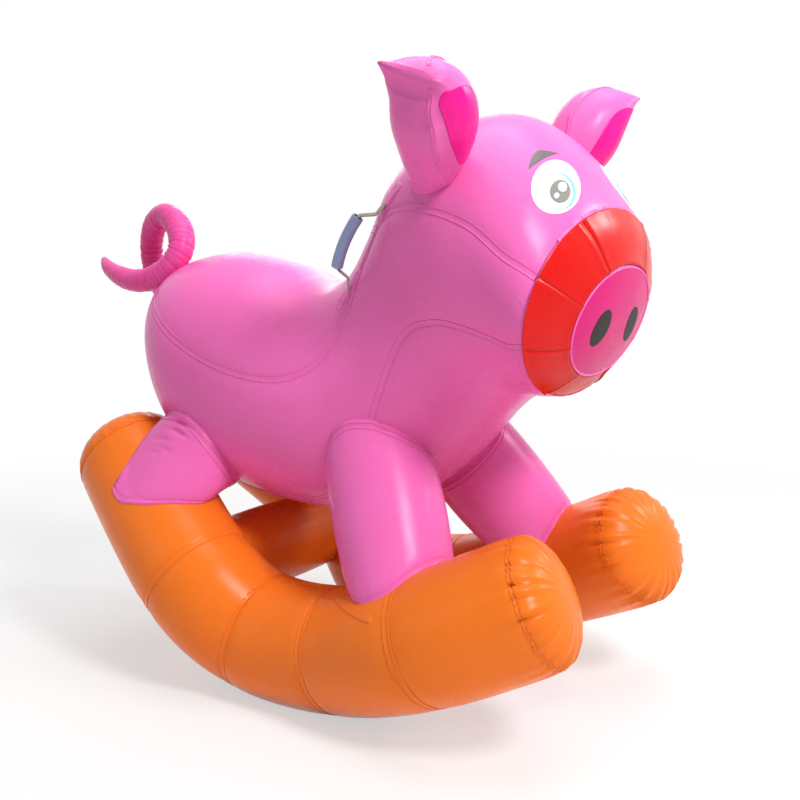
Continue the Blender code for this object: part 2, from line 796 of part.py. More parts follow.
def add_rod(name, centre, radius, length, along_y=True, sides=8):
    mesh = bpy.data.meshes.new(name)
    shape = bmesh.new()
    bmesh.ops.create_cone(shape, cap_ends=True, segments=sides, radius1=radius, radius2=radius, depth=length)
    if along_y:
        bmesh.ops.rotate(shape, matrix=Matrix.Rotation(math.pi / 2, 3, "X"), verts=shape.verts)
    bmesh.ops.translate(shape, vec=centre, verts=shape.verts)
    shape.to_mesh(mesh)
    shape.free()
    return add_object(name, mesh, None, CUTTERS)


def join(target, other):
    boolean = target.modifiers.new("join " + other.name, "BOOLEAN")
    boolean.operation = "UNION"
    boolean.solver = "EXACT"
    boolean.object = other


FLANGE_FACE = -WELD_GAP - FLANGE_THICKNESS  # heights from the fabric, upward into the chamber
RIM_FACE = FLANGE_FACE - BARREL_RIM
WEB_FACE = BARREL_DEPTH - WEB_THICKNESS
BUTTON_FACE = RIM_FACE + BUTTON_INSET
BUTTON_BACK = BUTTON_FACE + BUTTON_THICKNESS
HINGE_X = FLANGE_RADIUS - KNUCKLE_RADIUS - 2 * RUN_GAP
HINGE_Z = FLANGE_FACE - RUN_GAP - KNUCKLE_RADIUS


def build_valve_base(word, origin):
    bore = BARREL_RADIUS - BARREL_WALL
    guide = STEM_RADIUS + RUN_GAP
    profile = [(BARREL_RADIUS, BARREL_DEPTH), (BARREL_RADIUS, -WELD_GAP), (FLANGE_RADIUS, -WELD_GAP),
               (FLANGE_RADIUS, FLANGE_FACE), (BARREL_RADIUS, FLANGE_FACE), (BARREL_RADIUS, RIM_FACE),
               (bore, RIM_FACE), (bore, WEB_FACE), (guide, WEB_FACE), (guide, BARREL_DEPTH)]
    base = turned(f"{word}_valve_base", profile, origin, "valve", PARTS)
    middle = (guide + bore) / 2
    for index in range(AIR_HOLES):
        turn = math.tau * (index + 0.5) / AIR_HOLES
        spot = origin + Vector((middle * math.cos(turn), middle * math.sin(turn), WEB_FACE + WEB_THICKNESS / 2))
        cut(base, add_rod(f"{word} air hole {index + 1}", spot, AIR_HOLE_RADIUS, 3 * WEB_THICKNESS, False))
    for sign in (-1, 1):
        start = KNUCKLE_LENGTH / 2 + RUN_GAP
        spans = sorted((sign * start, sign * (start + LUG_LENGTH)))
        low = origin + Vector((HINGE_X - KNUCKLE_RADIUS, spans[0], HINGE_Z))
        high = origin + Vector((HINGE_X + KNUCKLE_RADIUS, spans[1], FLANGE_FACE + FLANGE_THICKNESS / 2))
        lug = add_block(f"{word} lug {sign}", low, high)
        round_end = origin + Vector((HINGE_X, sum(spans) / 2, HINGE_Z))
        join(lug, add_rod(f"{word} lug end {sign}", round_end, KNUCKLE_RADIUS, LUG_LENGTH))
        join(base, lug)


def build_valve_plunger(word, origin):
    profile = [(0.0, BARREL_DEPTH + RUN_GAP + POPPET_THICKNESS),
               (POPPET_RADIUS, BARREL_DEPTH + RUN_GAP + POPPET_THICKNESS), (POPPET_RADIUS, BARREL_DEPTH + RUN_GAP),
               (STEM_RADIUS, BARREL_DEPTH + RUN_GAP), (STEM_RADIUS, BUTTON_BACK), (BUTTON_RADIUS, BUTTON_BACK),
               (BUTTON_RADIUS, BUTTON_FACE), (0.0, BUTTON_FACE)]
    turned(f"{word}_valve_plunger", profile, origin, "valve", PARTS)


def build_valve_spring(word, origin):
    """Coil from the button's back to the web, as one tube."""
    low = BUTTON_BACK + RUN_GAP + SPRING_WIRE_RADIUS
    high = WEB_FACE - RUN_GAP - SPRING_WIRE_RADIUS
    data = bpy.data.curves.new(f"{word}_valve_spring", "CURVE")
    data.dimensions = "3D"
    data.bevel_depth = SPRING_WIRE_RADIUS
    data.bevel_resolution = 1
    data.use_fill_caps = True
    spline = data.splines.new("POLY")
    count = SPRING_TURNS * SPRING_POINTS
    spline.points.add(count)
    for index, point in enumerate(spline.points):
        turn = math.tau * index / SPRING_POINTS
        height = low + (high - low) * index / count
        point.co = (SPRING_RADIUS * math.cos(turn), SPRING_RADIUS * math.sin(turn), height, 1.0)
    spring = bpy.data.objects.new(f"{word}_valve_spring", data)
    PARTS.objects.link(spring)
    spring.location = origin
    data.materials.append(make_material(f"{word}_valve_spring", "steel"))


def build_valve_lid(word, origin):
    """Lid over the rim, on a knuckle at the flange. It is modelled about the hinge's axis."""
    inner = BARREL_RADIUS + LID_CLEARANCE
    outer = inner + LID_WALL
    lip = FLANGE_FACE - RUN_GAP
    inside = RIM_FACE - 2 * RUN_GAP
    axis = Vector((HINGE_X, 0.0, HINGE_Z))
    mesh = bpy.data.meshes.new(f"{word}_valve_lid")
    shape = bmesh.new()
    profile = [(0.0, inside), (inner, inside), (inner, lip), (outer, lip), (outer, inside - LID_TOP),
               (0.0, inside - LID_TOP)]
    verts = [shape.verts.new((radius, 0.0, height)) for radius, height in profile]
    edges = [shape.edges.new(pair) for pair in zip(verts, verts[1:])]
    bmesh.ops.spin(shape, geom=verts + edges, cent=(0, 0, 0), axis=(0, 0, 1), angle=math.tau, steps=VALVE_SIDES,
                   use_merge=True)
    bmesh.ops.remove_doubles(shape, verts=shape.verts, dist=0.00001)
    bmesh.ops.recalc_face_normals(shape, faces=shape.faces)
    bmesh.ops.translate(shape, vec=-axis, verts=shape.verts)
    shape.to_mesh(mesh)
    shape.free()
    lid = add_object(f"{word}_valve_lid", mesh, "valve", PARTS)
    lid.location = origin + axis
    half = KNUCKLE_LENGTH / 2
    low = origin + Vector(((inner + outer) / 2, -half, HINGE_Z - KNUCKLE_RADIUS / 2))
    high = origin + Vector((HINGE_X, half, HINGE_Z + KNUCKLE_RADIUS / 2))
    tongue = add_block(f"{word} tongue", low, high)
    join(tongue, add_rod(f"{word} knuckle", origin + axis, KNUCKLE_RADIUS, KNUCKLE_LENGTH))
    join(lid, tongue)


def build_valve(word, origin, skin):
    hole = add_rod(f"{word} valve hole", origin, BARREL_RADIUS + WELD_GAP, 4 * BARREL_DEPTH, False, VALVE_SIDES)
    cut(skin, hole)
    build_valve_base(word, origin)
    build_valve_plunger(word, origin)
    build_valve_spring(word, origin)
    build_valve_lid(word, origin)


def lowest_under(cutter, x, y):
    """The surface of a closed body straight above a point on the floor."""
    hit, spot, _, _ = cutter.ray_cast(Vector((x, y, 0.0)), Vector((0.0, 0.0, 1.0)))
    return spot.z


PARTS = None
CUTTERS = None


def main():
    global PARTS, CUTTERS
    clear_scene()
    PARTS = make_collection("inflatable_rocking_pig")
    CUTTERS = make_collection("cutters")
    body = body_cutter()
    bpy.context.view_layer.update()
    for side, word in ((-1, "right"), (1, "left")):
        build_rocker(side, word)
        rocker = rocker_cutter(side, word)
        build_leg(f"{word}_front_leg", FRONT_LEG, side, (body, rocker))
        build_leg(f"{word}_rear_leg", REAR_LEG, side, (body, rocker))
        build_ear(side, word, body)
        build_handle(side, word, body)
    rockers = [bpy.data.objects[f"{word} rocker outline"] for word in ("right", "left")]
    cross_tube = build_cross_tube(rockers)
    panels = build_body_panels()
    build_muzzle()
    build_tail(body)
    belly_z = lowest_under(body, BODY_VALVE_X, 0.0) - WELD_GAP
    build_valve("body", Vector((BODY_VALVE_X, 0.0, belly_z)), panels["belly"])
    tube_z = CROSS_HEIGHT - CROSS_RADIUS * math.cos(math.pi / TUBE_SIDES)
    build_valve("base", Vector((CROSS_X, BASE_VALVE_Y, tube_z)), cross_tube)


main()
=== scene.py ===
import json
import math

import bpy
import numpy as np
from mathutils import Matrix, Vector
from mathutils.bvhtree import BVHTree


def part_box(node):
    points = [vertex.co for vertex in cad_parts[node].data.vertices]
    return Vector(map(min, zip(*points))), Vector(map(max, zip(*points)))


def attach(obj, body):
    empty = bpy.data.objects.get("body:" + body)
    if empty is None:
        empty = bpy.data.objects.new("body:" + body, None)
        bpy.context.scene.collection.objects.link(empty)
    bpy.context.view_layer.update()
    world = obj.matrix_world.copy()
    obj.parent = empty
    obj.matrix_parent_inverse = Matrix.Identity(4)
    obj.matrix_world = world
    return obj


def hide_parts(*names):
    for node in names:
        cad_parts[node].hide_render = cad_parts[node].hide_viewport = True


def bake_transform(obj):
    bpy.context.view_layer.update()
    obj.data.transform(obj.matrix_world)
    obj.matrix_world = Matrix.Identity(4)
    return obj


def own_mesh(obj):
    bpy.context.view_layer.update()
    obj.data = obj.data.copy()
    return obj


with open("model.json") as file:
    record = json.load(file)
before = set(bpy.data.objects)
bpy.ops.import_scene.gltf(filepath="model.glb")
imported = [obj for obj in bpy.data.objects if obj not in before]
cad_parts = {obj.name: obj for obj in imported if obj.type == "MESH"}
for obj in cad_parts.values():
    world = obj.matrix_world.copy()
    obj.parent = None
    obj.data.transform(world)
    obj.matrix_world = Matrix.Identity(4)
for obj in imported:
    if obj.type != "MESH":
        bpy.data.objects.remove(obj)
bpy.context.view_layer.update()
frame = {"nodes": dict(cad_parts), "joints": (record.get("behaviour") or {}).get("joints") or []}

fixedBody = "inflated_animal_and_base"
sides = {"right": -1, "left": 1}
print("frame loaded:", len(frame["nodes"]), "nodes")


# points are kept as rows of numbers, in metres

def unit(vectors):
    return vectors / np.maximum(np.linalg.norm(vectors, axis=-1, keepdims=True), 1e-12)


def curveRows(rows, places):  # a smooth curve through the rows, read at places counted in rows
    rows = np.asarray(rows, float)
    places = np.asarray(places, float)
    last = len(rows) - 1
    index = np.clip(places.astype(int), 0, last - 1)
    t = (places - index)[..., None]
    a, b, c, d = (rows[np.clip(index + shift, 0, last)] for shift in (-1, 0, 1, 2))
    return 0.5 * (2 * b + (c - a) * t + (2 * a - 5 * b + 4 * c - d) * t**2 + (3 * b - a - 3 * c + d) * t**3)


def smoothLine(rows, count):  # a smooth curve through the rows, read evenly
    return curveRows(rows, np.linspace(0, len(rows) - 1, count))


def closedCurve(rows, count):  # a smooth loop through the rows
    rows = np.asarray(rows, float)
    padded = np.vstack([rows[-2:], rows, rows[:3]])
    return curveRows(padded, np.linspace(2, 2 + len(rows), count, endpoint=False))


def runLength(points):  # distance along a line of points
    steps = np.linalg.norm(np.diff(points, axis=0), axis=1)
    return np.concatenate([[0.0], np.cumsum(steps)])


def evenPoints(points, spacing, closed=False):
    if closed:
        points = np.vstack([points, points[:1]])
    run = runLength(points)
    count = max(int(round(run[-1] / spacing)), 4)
    marks = np.linspace(0.0, run[-1], count + 1)
    made = np.stack([np.interp(marks, run, points[:, axis]) for axis in range(3)], axis=1)
    return made[:-1] if closed else made


def roundTurns(count):
    return np.linspace(0, math.tau, count, endpoint=False)


def turnsApart(degrees, start):
    return (degrees - start + 180) % 360 - 180


def bell(x, width):
    return np.exp(-(x / width)**2)


def fading(away, reach):
    return np.exp(-np.abs(away) / reach)


def eased(t):
    return t * t * (3 - 2 * t)


def wobble(x, seed=0.0):  # a smooth, uneven wave between -1 and 1
    first = np.sin(x + 1.7 * seed)
    second = np.sin(1.63 * x + 2.9 * seed + 1.1 * np.sin(0.37 * x + seed))
    return (first + second + np.sin(2.71 * x + 5.3 * seed)) / 3


def tucks(x, seed):  # narrow folds: an uneven wave between 0 and 1
    return (0.5 + 0.5 * wobble(x, seed))**2


def lineFrames(points):  # the way along a line, a level way across it and the way up
    along = unit(np.gradient(points, axis=0))
    level = unit(np.cross((0.0, 0.0, 1.0), along))
    return along, level, np.cross(along, level)


def ringPoints(centres, level, upright, radius, turns):
    radius = np.broadcast_to(np.asarray(radius, float), (len(centres), len(turns)))[..., None]
    wide = level[:, None] * np.cos(turns)[None, :, None]
    high = upright[:, None] * np.sin(turns)[None, :, None]
    return centres[:, None] + (wide + high) * radius


def surfaceNormals(points, outward, wrap=False):
    if wrap:
        across = np.roll(points, -1, axis=1) - np.roll(points, 1, axis=1)
    else:
        across = np.gradient(points, axis=1)
    normals = unit(np.cross(across, np.gradient(points, axis=0)))
    sign = np.sign(np.sum(normals * outward, axis=-1).mean())
    return normals * (1.0 if sign >= 0 else -1.0)


fabric = {"thickness": 0.0009, "band": 0.0004}  # of a skin, and of a strip that lies on it


def gridPiece(name, points, outward, material, wrap=False, ringed=False, startTip=None, endTip=None,
              thickness=None):  # a tip closes an end row, and True puts it in the row's middle
    rows, columns = points.shape[:2]
    middleRow, middleColumn = points[rows // 2], points[:, columns // 2]
    across = runLength(np.vstack([middleRow, middleRow[:1]]) if wrap else middleRow)
    along = runLength(np.vstack([middleColumn, middleColumn[:1]]))
    r, c = np.meshgrid(np.arange(rows if ringed else rows - 1), np.arange(columns if wrap else columns - 1),
                       indexing="ij")
    r, c = r.ravel(), c.ravel()
    corners = ((0, 0), (0, 1), (1, 1), (1, 0))
    faces = np.stack([(r + dr) % rows * columns + (c + dc) % columns for dr, dc in corners], axis=1)
    metres = np.stack([np.stack([across[c + dc], along[r + dr]], axis=1) for dr, dc in corners], axis=1)
    a, b, d = points[:-1, :-1], points[:-1, 1:], points[1:, :-1]
    facing = np.sum(np.cross(b - a, d - a) * outward[:-1, :-1], axis=-1).sum()
    if facing < 0:
        faces, metres = faces[:, ::-1], metres[:, ::-1]
    verts = points.reshape(-1, 3).tolist()
    faces = faces.tolist()
    loops = metres.reshape(-1, 2).tolist()
    for tip, row in ((startTip, 0), (endTip, rows - 1)):
        if tip is None:
            continue
        verts.append(list(points[row].mean(axis=0) if tip is True else tip))
        for column in range(columns):
            pair = [row * columns + column, row * columns + (column + 1) % columns, len(verts) - 1]
            spots = [[across[column + step], along[row]] for step in (0, 1, 0)]
            turned = (facing < 0) == (row == 0)
            faces.append(pair if turned else pair[::-1])
            loops += spots if turned else spots[::-1]
    mesh = bpy.data.meshes.new(name)
    mesh.from_pydata(verts, [], faces)
    layer = mesh.uv_layers.new(name="metres")
    layer.data.foreach_set("uv", np.asarray(loops, np.float32).ravel())
    mesh.shade_smooth()
    mesh.materials.append(material)
    piece = bpy.data.objects.new(name, mesh)
    bpy.context.scene.collection.objects.link(piece)
    if thickness is not None:
        solid = piece.modifiers.new("thickness", "SOLIDIFY")
        solid.thickness = thickness
        solid.offset = -1.0
    return piece


def treeOf(*pieces):  # for finding the skin under a weld or a print
    verts, faces = [], []
    for piece in pieces:
        start = len(verts)
        verts += [vertex.co.copy() for vertex in piece.data.vertices]
        faces += [[start + index for index in face.vertices] for face in piece.data.polygons]
    return BVHTree.FromPolygons(verts, faces)


def settle(points, tree, rises):  # lays points on a skin, each at its own height
    flat = points.reshape(-1, 3)
    heights = np.broadcast_to(rises, points.shape[:-1]).ravel()
    found = [tree.find_nearest(Vector(point))[:2] for point in flat]
    spots = np.array([spot for spot, normal in found])
    normals = np.array([normal for spot, normal in found])
    return (spots + normals * heights[:, None]).reshape(points.shape), normals.reshape(points.shape)


def place(piece, slot, *nodes, body=fixedBody):
    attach(piece, body)
    if nodes:
        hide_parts(*nodes)
    return piece


def skinPiece(node, points, outward, material, thickness=fabric["thickness"], **more):
    piece = gridPiece(node + "_skin", points, outward, material, thickness=thickness, **more)
    return place(piece, material["slot"], node)


def bandPiece(name, points, outward, material, wrap=True):
    piece = gridPiece(name, points, outward, material, wrap=wrap, thickness=fabric["band"])
    return place(piece, material["slot"])


def laidPatch(name, outline, rings, tree, material, slot, *nodes):  # rings: share of the outline, rise
    rings = np.array(rings)
    middle = outline.mean(axis=0)
    points, outward = settle(middle + (outline - middle)[None] * rings[:, :1, None], tree, rings[:, 1:])
    return place(gridPiece(name, points, outward, material, wrap=True, endTip=True), slot, *nodes)


def jointNamed(name):
    return next(joint for joint in frame["joints"] if joint["name"] == name)


# finishes

def addNode(tree, kind, values=None, links=None, **settings):
    node = tree.nodes.new("ShaderNode" + kind)
    for key, value in settings.items():
        setattr(node, key, value)
    for key, value in (values or {}).items():
        node.inputs[key].default_value = value
    for key, source in (links or {}).items():
        tree.links.new(source, node.inputs[key])
    return node


def ramp(tree, factor, low, high, start=0.0, end=1.0):
    node = addNode(tree, "ValToRGB", links={"Fac": factor})
    for stop, position, colour in zip(node.color_ramp.elements, (start, end), (low, high)):
        stop.position = position
        stop.color = colour if len(colour) == 4 else (*colour, 1.0)
    return node.outputs["Color"]


def darker(colour, share):
    return tuple(channel * share for channel in colour)


def objectPlace(tree):
    return addNode(tree, "TexCoord").outputs["Object"]


def noise(tree, place3d, scale, detail, **more):
    node = addNode(tree, "TexNoise", {"Scale": scale, "Detail": detail, **more}, {"Vector": place3d})
    return node.outputs["Fac"]


def threads(tree, flat, pitch):  # the two ways of a weave
    scale = math.tau / 20.0 / pitch
    return [addNode(tree, "TexWave", {"Scale": scale}, {"Vector": flat}, bands_direction=way).outputs["Fac"]
            for way in ("X", "Y")]


def combine(tree, operation, first, second):
    return addNode(tree, "Math", links={0: first, 1: second}, operation=operation).outputs["Value"]


def relief(tree, height, strength, distance, under=None):
    links = {"Height": height} if under is None else {"Height": height, "Normal": under}
    return addNode(tree, "Bump", {"Strength": strength, "Distance": distance}, links).outputs["Normal"]


def startMaterial(name):
    material = bpy.data.materials.new(name)
    material.use_nodes = True
    return material, material.node_tree, material.node_tree.nodes["Principled BSDF"]


def endMaterial(tree, shader, tone, normal, values):
    tree.links.new(tone, shader.inputs["Base Color"])
    if normal is not None:
        tree.links.new(normal, shader.inputs["Normal"])
    for key, value in values.items():
        shader.inputs[key].default_value = value


coating = {
    "weavePitch": 0.0011, "weaveRelief": (0.5, 0.00005),  # relief: strength and height
    "wave": (16.0, 2.0), "waveDistortion": 0.6, "waveRelief": (0.6, 0.0006),
    "cloud": (4.5, 3.0), "cloudSpread": (0.35, 0.65), "shade": 0.94,  # cloud, smear and dust: size and detail
    "smear": (22.0, 5.0), "smearSpread": (0.3, 0.7), "roughness": (0.22, 0.34), "gloss": 1.26,
    "dust": (60.0, 6.0), "dustRoughness": 0.7, "dustColour": (0.30, 0.22, 0.16),
}


def coatedFabric(name, slot, colour, waves=1.0, dustHeight=None):
    material, tree, shader = startMaterial(name)
    material["slot"] = slot
    place3d = objectPlace(tree)
    flat = addNode(tree, "UVMap", uv_map="metres").outputs["UV"]
    clouds = noise(tree, place3d, *coating["cloud"])
    tone = ramp(tree, clouds, darker(colour, coating["shade"]), colour, *coating["cloudSpread"])
    if dustHeight:
        height = addNode(tree, "SeparateXYZ", links={"Vector": place3d}).outputs["Z"]
        near = addNode(tree, "MapRange", {"From Min": dustHeight, "From Max": 0.0}, {"Value": height},
                       clamp=True)
        specks = noise(tree, place3d, *coating["dust"], Roughness=coating["dustRoughness"])
        blend = addNode(tree, "Mix", data_type="RGBA", blend_type="MIX")
        tree.links.new(combine(tree, "MULTIPLY", near.outputs["Result"], specks), blend.inputs[0])
        tree.links.new(tone, blend.inputs[6])
        blend.inputs[7].default_value = (*coating["dustColour"], 1.0)
        tone = blend.outputs[2]
    (low, high), (smooth, rough) = coating["smearSpread"], coating["roughness"]
    gloss = addNode(tree, "MapRange", {"From Min": low, "From Max": high, "To Min": smooth, "To Max": rough},
                    {"Value": noise(tree, place3d, *coating["smear"])})
    tree.links.new(gloss.outputs["Result"], shader.inputs["Roughness"])
    weave = combine(tree, "MAXIMUM", *threads(tree, flat, coating["weavePitch"]))
    cloth = relief(tree, weave, *coating["weaveRelief"])
    strength, height = coating["waveRelief"]
    soft = noise(tree, place3d, *coating["wave"], Distortion=coating["waveDistortion"])
    wavy = relief(tree, soft, strength, height * waves, cloth)
    endMaterial(tree, shader, tone, wavy, {"IOR": coating["gloss"]})
    return material


skins = {
    "pink": coatedFabric("pinkFabric", "pink_skin", (0.85, 0.15, 0.47)),
    "orange": coatedFabric("orangeFabric", "orange_skin", (0.88, 0.185, 0.014), dustHeight=0.05),
    "red": coatedFabric("redFabric", "red_skin", (0.68, 0.006, 0.004)),
    "magenta": coatedFabric("magentaFabric", "magenta_skin", (0.88, 0.010, 0.285)),
    "snout": coatedFabric("snoutFabric", "magenta_skin", (0.66, 0.006, 0.175)),
    "crinkled": coatedFabric("crinkledPinkFabric", "pink_skin", (0.80, 0.075, 0.33), waves=3.0),
}

# cloud and grain: size and detail; rise: strength and height of the grain
inkGrain = {"cloud": (220.0, 3.0), "grain": (220.0, 3.0), "shade": 0.93, "spread": (0.3, 0.7),
            "rise": (0.3, 0.00008)}
hardGrain = {"cloud": (35.0, 4.0), "grain": (900.0, 2.0), "shade": 0.85, "spread": (0.35, 0.65),
             "rise": (0.35, 0.00006)}


def grained(name, colour, kind, values):
    material, tree, shader = startMaterial(name)
    place3d = objectPlace(tree)
    clouds = noise(tree, place3d, *kind["cloud"])
    grain = clouds if kind["grain"] == kind["cloud"] else noise(tree, place3d, *kind["grain"])
    tone = ramp(tree, clouds, darker(colour, kind["shade"]), colour, *kind["spread"])
    endMaterial(tree, shader, tone, relief(tree, grain, *kind["rise"]), values)
    return material


def printedInk(name, colour, roughness=0.25):
    return grained(name, colour, inkGrain, {"Roughness": roughness, "Specular IOR Level": 0.2})


def mouldedPlastic(name, colour, roughness, metallic=0.0):
    return grained(name, colour, hardGrain, {"Roughness": roughness, "Metallic": metallic})


weaving = {"pitch": 0.0016, "turn": 45, "shade": 0.55, "spread": (0.0, 0.5), "rise": (0.9, 0.0004),
           "values": {"Roughness": 0.85, "Sheen Weight": 0.3}}


def wovenWebbing(name, colour):
    material, tree, shader = startMaterial(name)
    flat = addNode(tree, "UVMap", uv_map="metres").outputs["UV"]
    turn = (0.0, 0.0, math.radians(weaving["turn"]))
    turned = addNode(tree, "Mapping", {"Rotation": turn}, {"Vector": flat})
    twill = combine(tree, "MULTIPLY", *threads(tree, turned.outputs["Vector"], weaving["pitch"]))
    tone = ramp(tree, twill, darker(colour, weaving["shade"]), colour, *weaving["spread"])
    endMaterial(tree, shader, tone, relief(tree, twill, *weaving["rise"]), weaving["values"])
    return material


webbing = wovenWebbing("beigeWebbing", (0.62, 0.55, 0.42))
gripPlastic = mouldedPlastic("blueGreyHose", (0.30, 0.37, 0.62), 0.42)
valvePlastic = mouldedPlastic("valvePlastic", (0.72, 0.72, 0.70), 0.38)
springSteel = mouldedPlastic("springSteel", (0.60, 0.60, 0.62), 0.28, 1.0)
inks = {
    "white": printedInk("whiteInk", (0.90, 0.91, 0.92)),
    "blue": printedInk("blueInk", (0.26, 0.74, 0.84)),
    "grey": printedInk("greyInk", (0.25, 0.25, 0.225)),
    "brow": printedInk("browInk", (0.16, 0.13, 0.15)),
    "dark": printedInk("darkInk", (0.024, 0.019, 0.016), 0.5),
}
print("finishes made:", len(bpy.data.materials))


# welded seams: a flat overlap with a raised line along each edge

weld = {
    "halfWidth": 0.0078, "spacing": 0.005,
    "section": (  # share of the half width, height
        (-1.0, -0.0005), (-0.94, 0.00102), (-0.86, 0.0017), (-0.76, 0.00052), (-0.45, 0.0004), (0.0, 0.00032),
    ),
}


def weldProfile(halfWidth):
    mirrored = [(-share, height) for share, height in weld["section"][-2::-1]]
    return [(share * halfWidth, height) for share, height in list(weld["section"]) + mirrored]


def weldBand(name, path, tree, material, closed=False, halfWidth=weld["halfWidth"]):
    path = evenPoints(np.asarray(path, float), weld["spacing"], closed)
    steps = np.roll(path, -1, axis=0) - np.roll(path, 1, axis=0) if closed else np.gradient(path, axis=0)
    along = unit(steps)
    profile = np.array(weldProfile(halfWidth))
    across = unit(np.cross(settle(path, tree, 0.0)[1], along))
    spread = path[:, None] + across[:, None] * profile[None, :, :1]
    points, outward = settle(spread, tree, profile[None, :, 1])
    if closed:
        points, outward = points.transpose(1, 0, 2), outward.transpose(1, 0, 2)
    return bandPiece(name, points, outward, material, wrap=closed)


# body: one smooth form, cut into the panels along its welds

trunk = {
    # back x, back z, belly x, belly z, half width, upper weld, lower weld (degrees round from the back)
    "line": (
        (-0.504, 0.894, -0.540, 0.846, 0.030, 72, 140),
        (-0.435, 0.950, -0.517, 0.770, 0.130, 72, 142),
        (-0.350, 0.975, -0.464, 0.630, 0.215, 73, 145),
        (-0.240, 0.982, -0.372, 0.490, 0.270, 75, 150),
        (-0.130, 0.960, -0.220, 0.410, 0.288, 77, 152),
        (-0.040, 0.927, -0.050, 0.380, 0.285, 77, 150),
        (0.032, 0.913, 0.120, 0.385, 0.272, 76, 142),
        (0.087, 0.927, 0.272, 0.445, 0.255, 73, 124),
        (0.133, 0.968, 0.395, 0.545, 0.245, 62, 107),
        (0.188, 1.058, 0.482, 0.640, 0.250, 51, 101),
        (0.254, 1.172, 0.530, 0.677, 0.270, 57, 109),
        (0.380, 1.257, 0.558, 0.685, 0.288, 71, 118),
        (0.520, 1.257, 0.582, 0.685, 0.293, 78, 122),
        (0.635, 1.175, 0.602, 0.687, 0.291, 80, 121),
        (0.710, 1.067, 0.616, 0.691, 0.284, 72, 113),
    ),
    "stepsPerRow": 14,
    "columns": {"right_flank_panel": 50, "belly_panel": 64, "left_flank_panel": 50, "back_panel": 76},
    "valley": 0.0020, "valleyWidth": 0.016,
    "pucker": 0.0005, "puckerReach": 0.030, "puckerLength": 0.050, "faceRadius": 0.24,
    "napeSeam": ((9.55, 53), (9.12, 36.5), (8.85, 18), (8.78, 0)),
}


def trunkPoints(places, degrees):  # degrees round from the back; the right side is 0 to 180
    row = curveRows(trunk["line"], places)
    zero = np.zeros_like(row[..., 0])
    back = np.stack([row[..., 0], zero, row[..., 1]], axis=-1)
    belly = np.stack([row[..., 2], zero, row[..., 3]], axis=-1)
    centre = (back + belly) / 2
    turn = np.radians(degrees)
    high = (back - belly) / 2 * np.cos(turn)[..., None]
    wide = row[..., 4] * np.sin(turn)
    return centre + high - np.stack([zero, wide, zero], axis=-1), centre


def seamDip(distance, run, seed):
    valley = -trunk["valley"] * bell(distance, trunk["valleyWidth"])
    pucker = trunk["pucker"] * wobble(math.tau * run / trunk["puckerLength"], seed)
    return valley + pucker * fading(distance, trunk["puckerReach"])


def trunkGrid():
    last = len(trunk["line"]) - 1
    places = np.linspace(0.0, last, last * trunk["stepsPerRow"] + 1)
    row = curveRows(trunk["line"], places)
    upper, lower = row[:, 5], row[:, 6]
    ends = {"right_flank_panel": (upper, lower), "belly_panel": (lower, 360 - lower),
            "left_flank_panel": (360 - lower, 360 - upper), "back_panel": (360 - upper, 360 + upper)}
    degrees, starts = [], {}
    for panel, count in trunk["columns"].items():
        starts[panel] = sum(len(part[0]) for part in degrees)
        share = np.arange(count)[None, :] / count
        degrees.append(ends[panel][0][:, None] * (1 - share) + ends[panel][1][:, None] * share)
    degrees = np.concatenate(degrees, axis=1)
    grid = np.repeat(places[:, None], degrees.shape[1], axis=1)
    points, centres = trunkPoints(grid, degrees)
    outward = points - centres
    run = runLength(centres[:, 0])[:, None]
    girth = np.linalg.norm(outward, axis=-1) * math.pi / 180
    dip = np.zeros_like(degrees)
    for index, seam in enumerate((upper, lower, 360 - lower, 360 - upper)):
        away = turnsApart(degrees, seam[:, None])
        dip = dip + seamDip(away * girth, run + 0 * away, 1.0 + index)
    ring = (last - grid) * np.linalg.norm(points[-1] - points[-1 - trunk["stepsPerRow"]], axis=-1)[None, :]
    dip = dip + seamDip(ring, np.radians(degrees) * trunk["faceRadius"], 7.0)
    points = points + surfaceNormals(points, outward, True) * dip[..., None]
    return points, outward, starts


def buildTrunk():
    points, outward, starts = trunkGrid()
    made = []
    for panel, count in trunk["columns"].items():
        columns = (starts[panel] + np.arange(count + 1)) % points.shape[1]
        made.append(skinPiece(panel, points[:, columns], outward[:, columns], skins["pink"]))
    tree = treeOf(*made)
    seams = {"right_upper_weld": "right_flank_panel", "right_lower_weld": "belly_panel",
             "left_lower_weld": "left_flank_panel", "left_upper_weld": "back_panel"}
    for name, panel in seams.items():
        weldBand(name, points[2:, starts[panel]], tree, skins["pink"])
    marks = smoothLine(trunk["napeSeam"], 24)
    half = trunkPoints(marks[:, 0], marks[:, 1])[0]
    weldBand("nape_weld", np.vstack([half, half[-2::-1] * (1.0, -1.0, 1.0)]), tree, skins["pink"])
    return made, tree


trunkPieces, trunkTree = buildTrunk()
print("body panels made")


# muzzle: a cone of gores, closed by the snout disc

muzzle = {
    "discCentre": (0.704, 0.0, 0.846), "discTilt": 18.6, "discHalf": (0.169, 0.119), "discRows": 26,
    "crown": 0.020, "crownShape": 0.85,
    "swell": 0.012, "rows": 26, "goreColumns": 14, "gores": (-32, 32, 72, 113, 154, 206, 247, 288),
    "valley": 0.0022, "valleyWidth": 0.009,
    "pucker": 0.0016, "puckerReach": 0.016, "puckerCount": 44, "snoutPucker": 0.35,
    "discPucker": 0.0007, "discPuckerCount": 24, "discPuckerReach": 0.014, "discPuckerFade": 0.003,
    "discReach": 0.14, "rimReach": 0.006, "goreWeld": 0.0055, "ringWeld": 0.0062,
    "pipingRadius": 0.0024, "pipingRise": 0.0006, "pipingSpacing": 0.004, "pipingTurn": (-100, 190),
}
discTilt = math.radians(muzzle["discTilt"])
discUp = np.array([math.sin(discTilt), 0.0, math.cos(discTilt)])
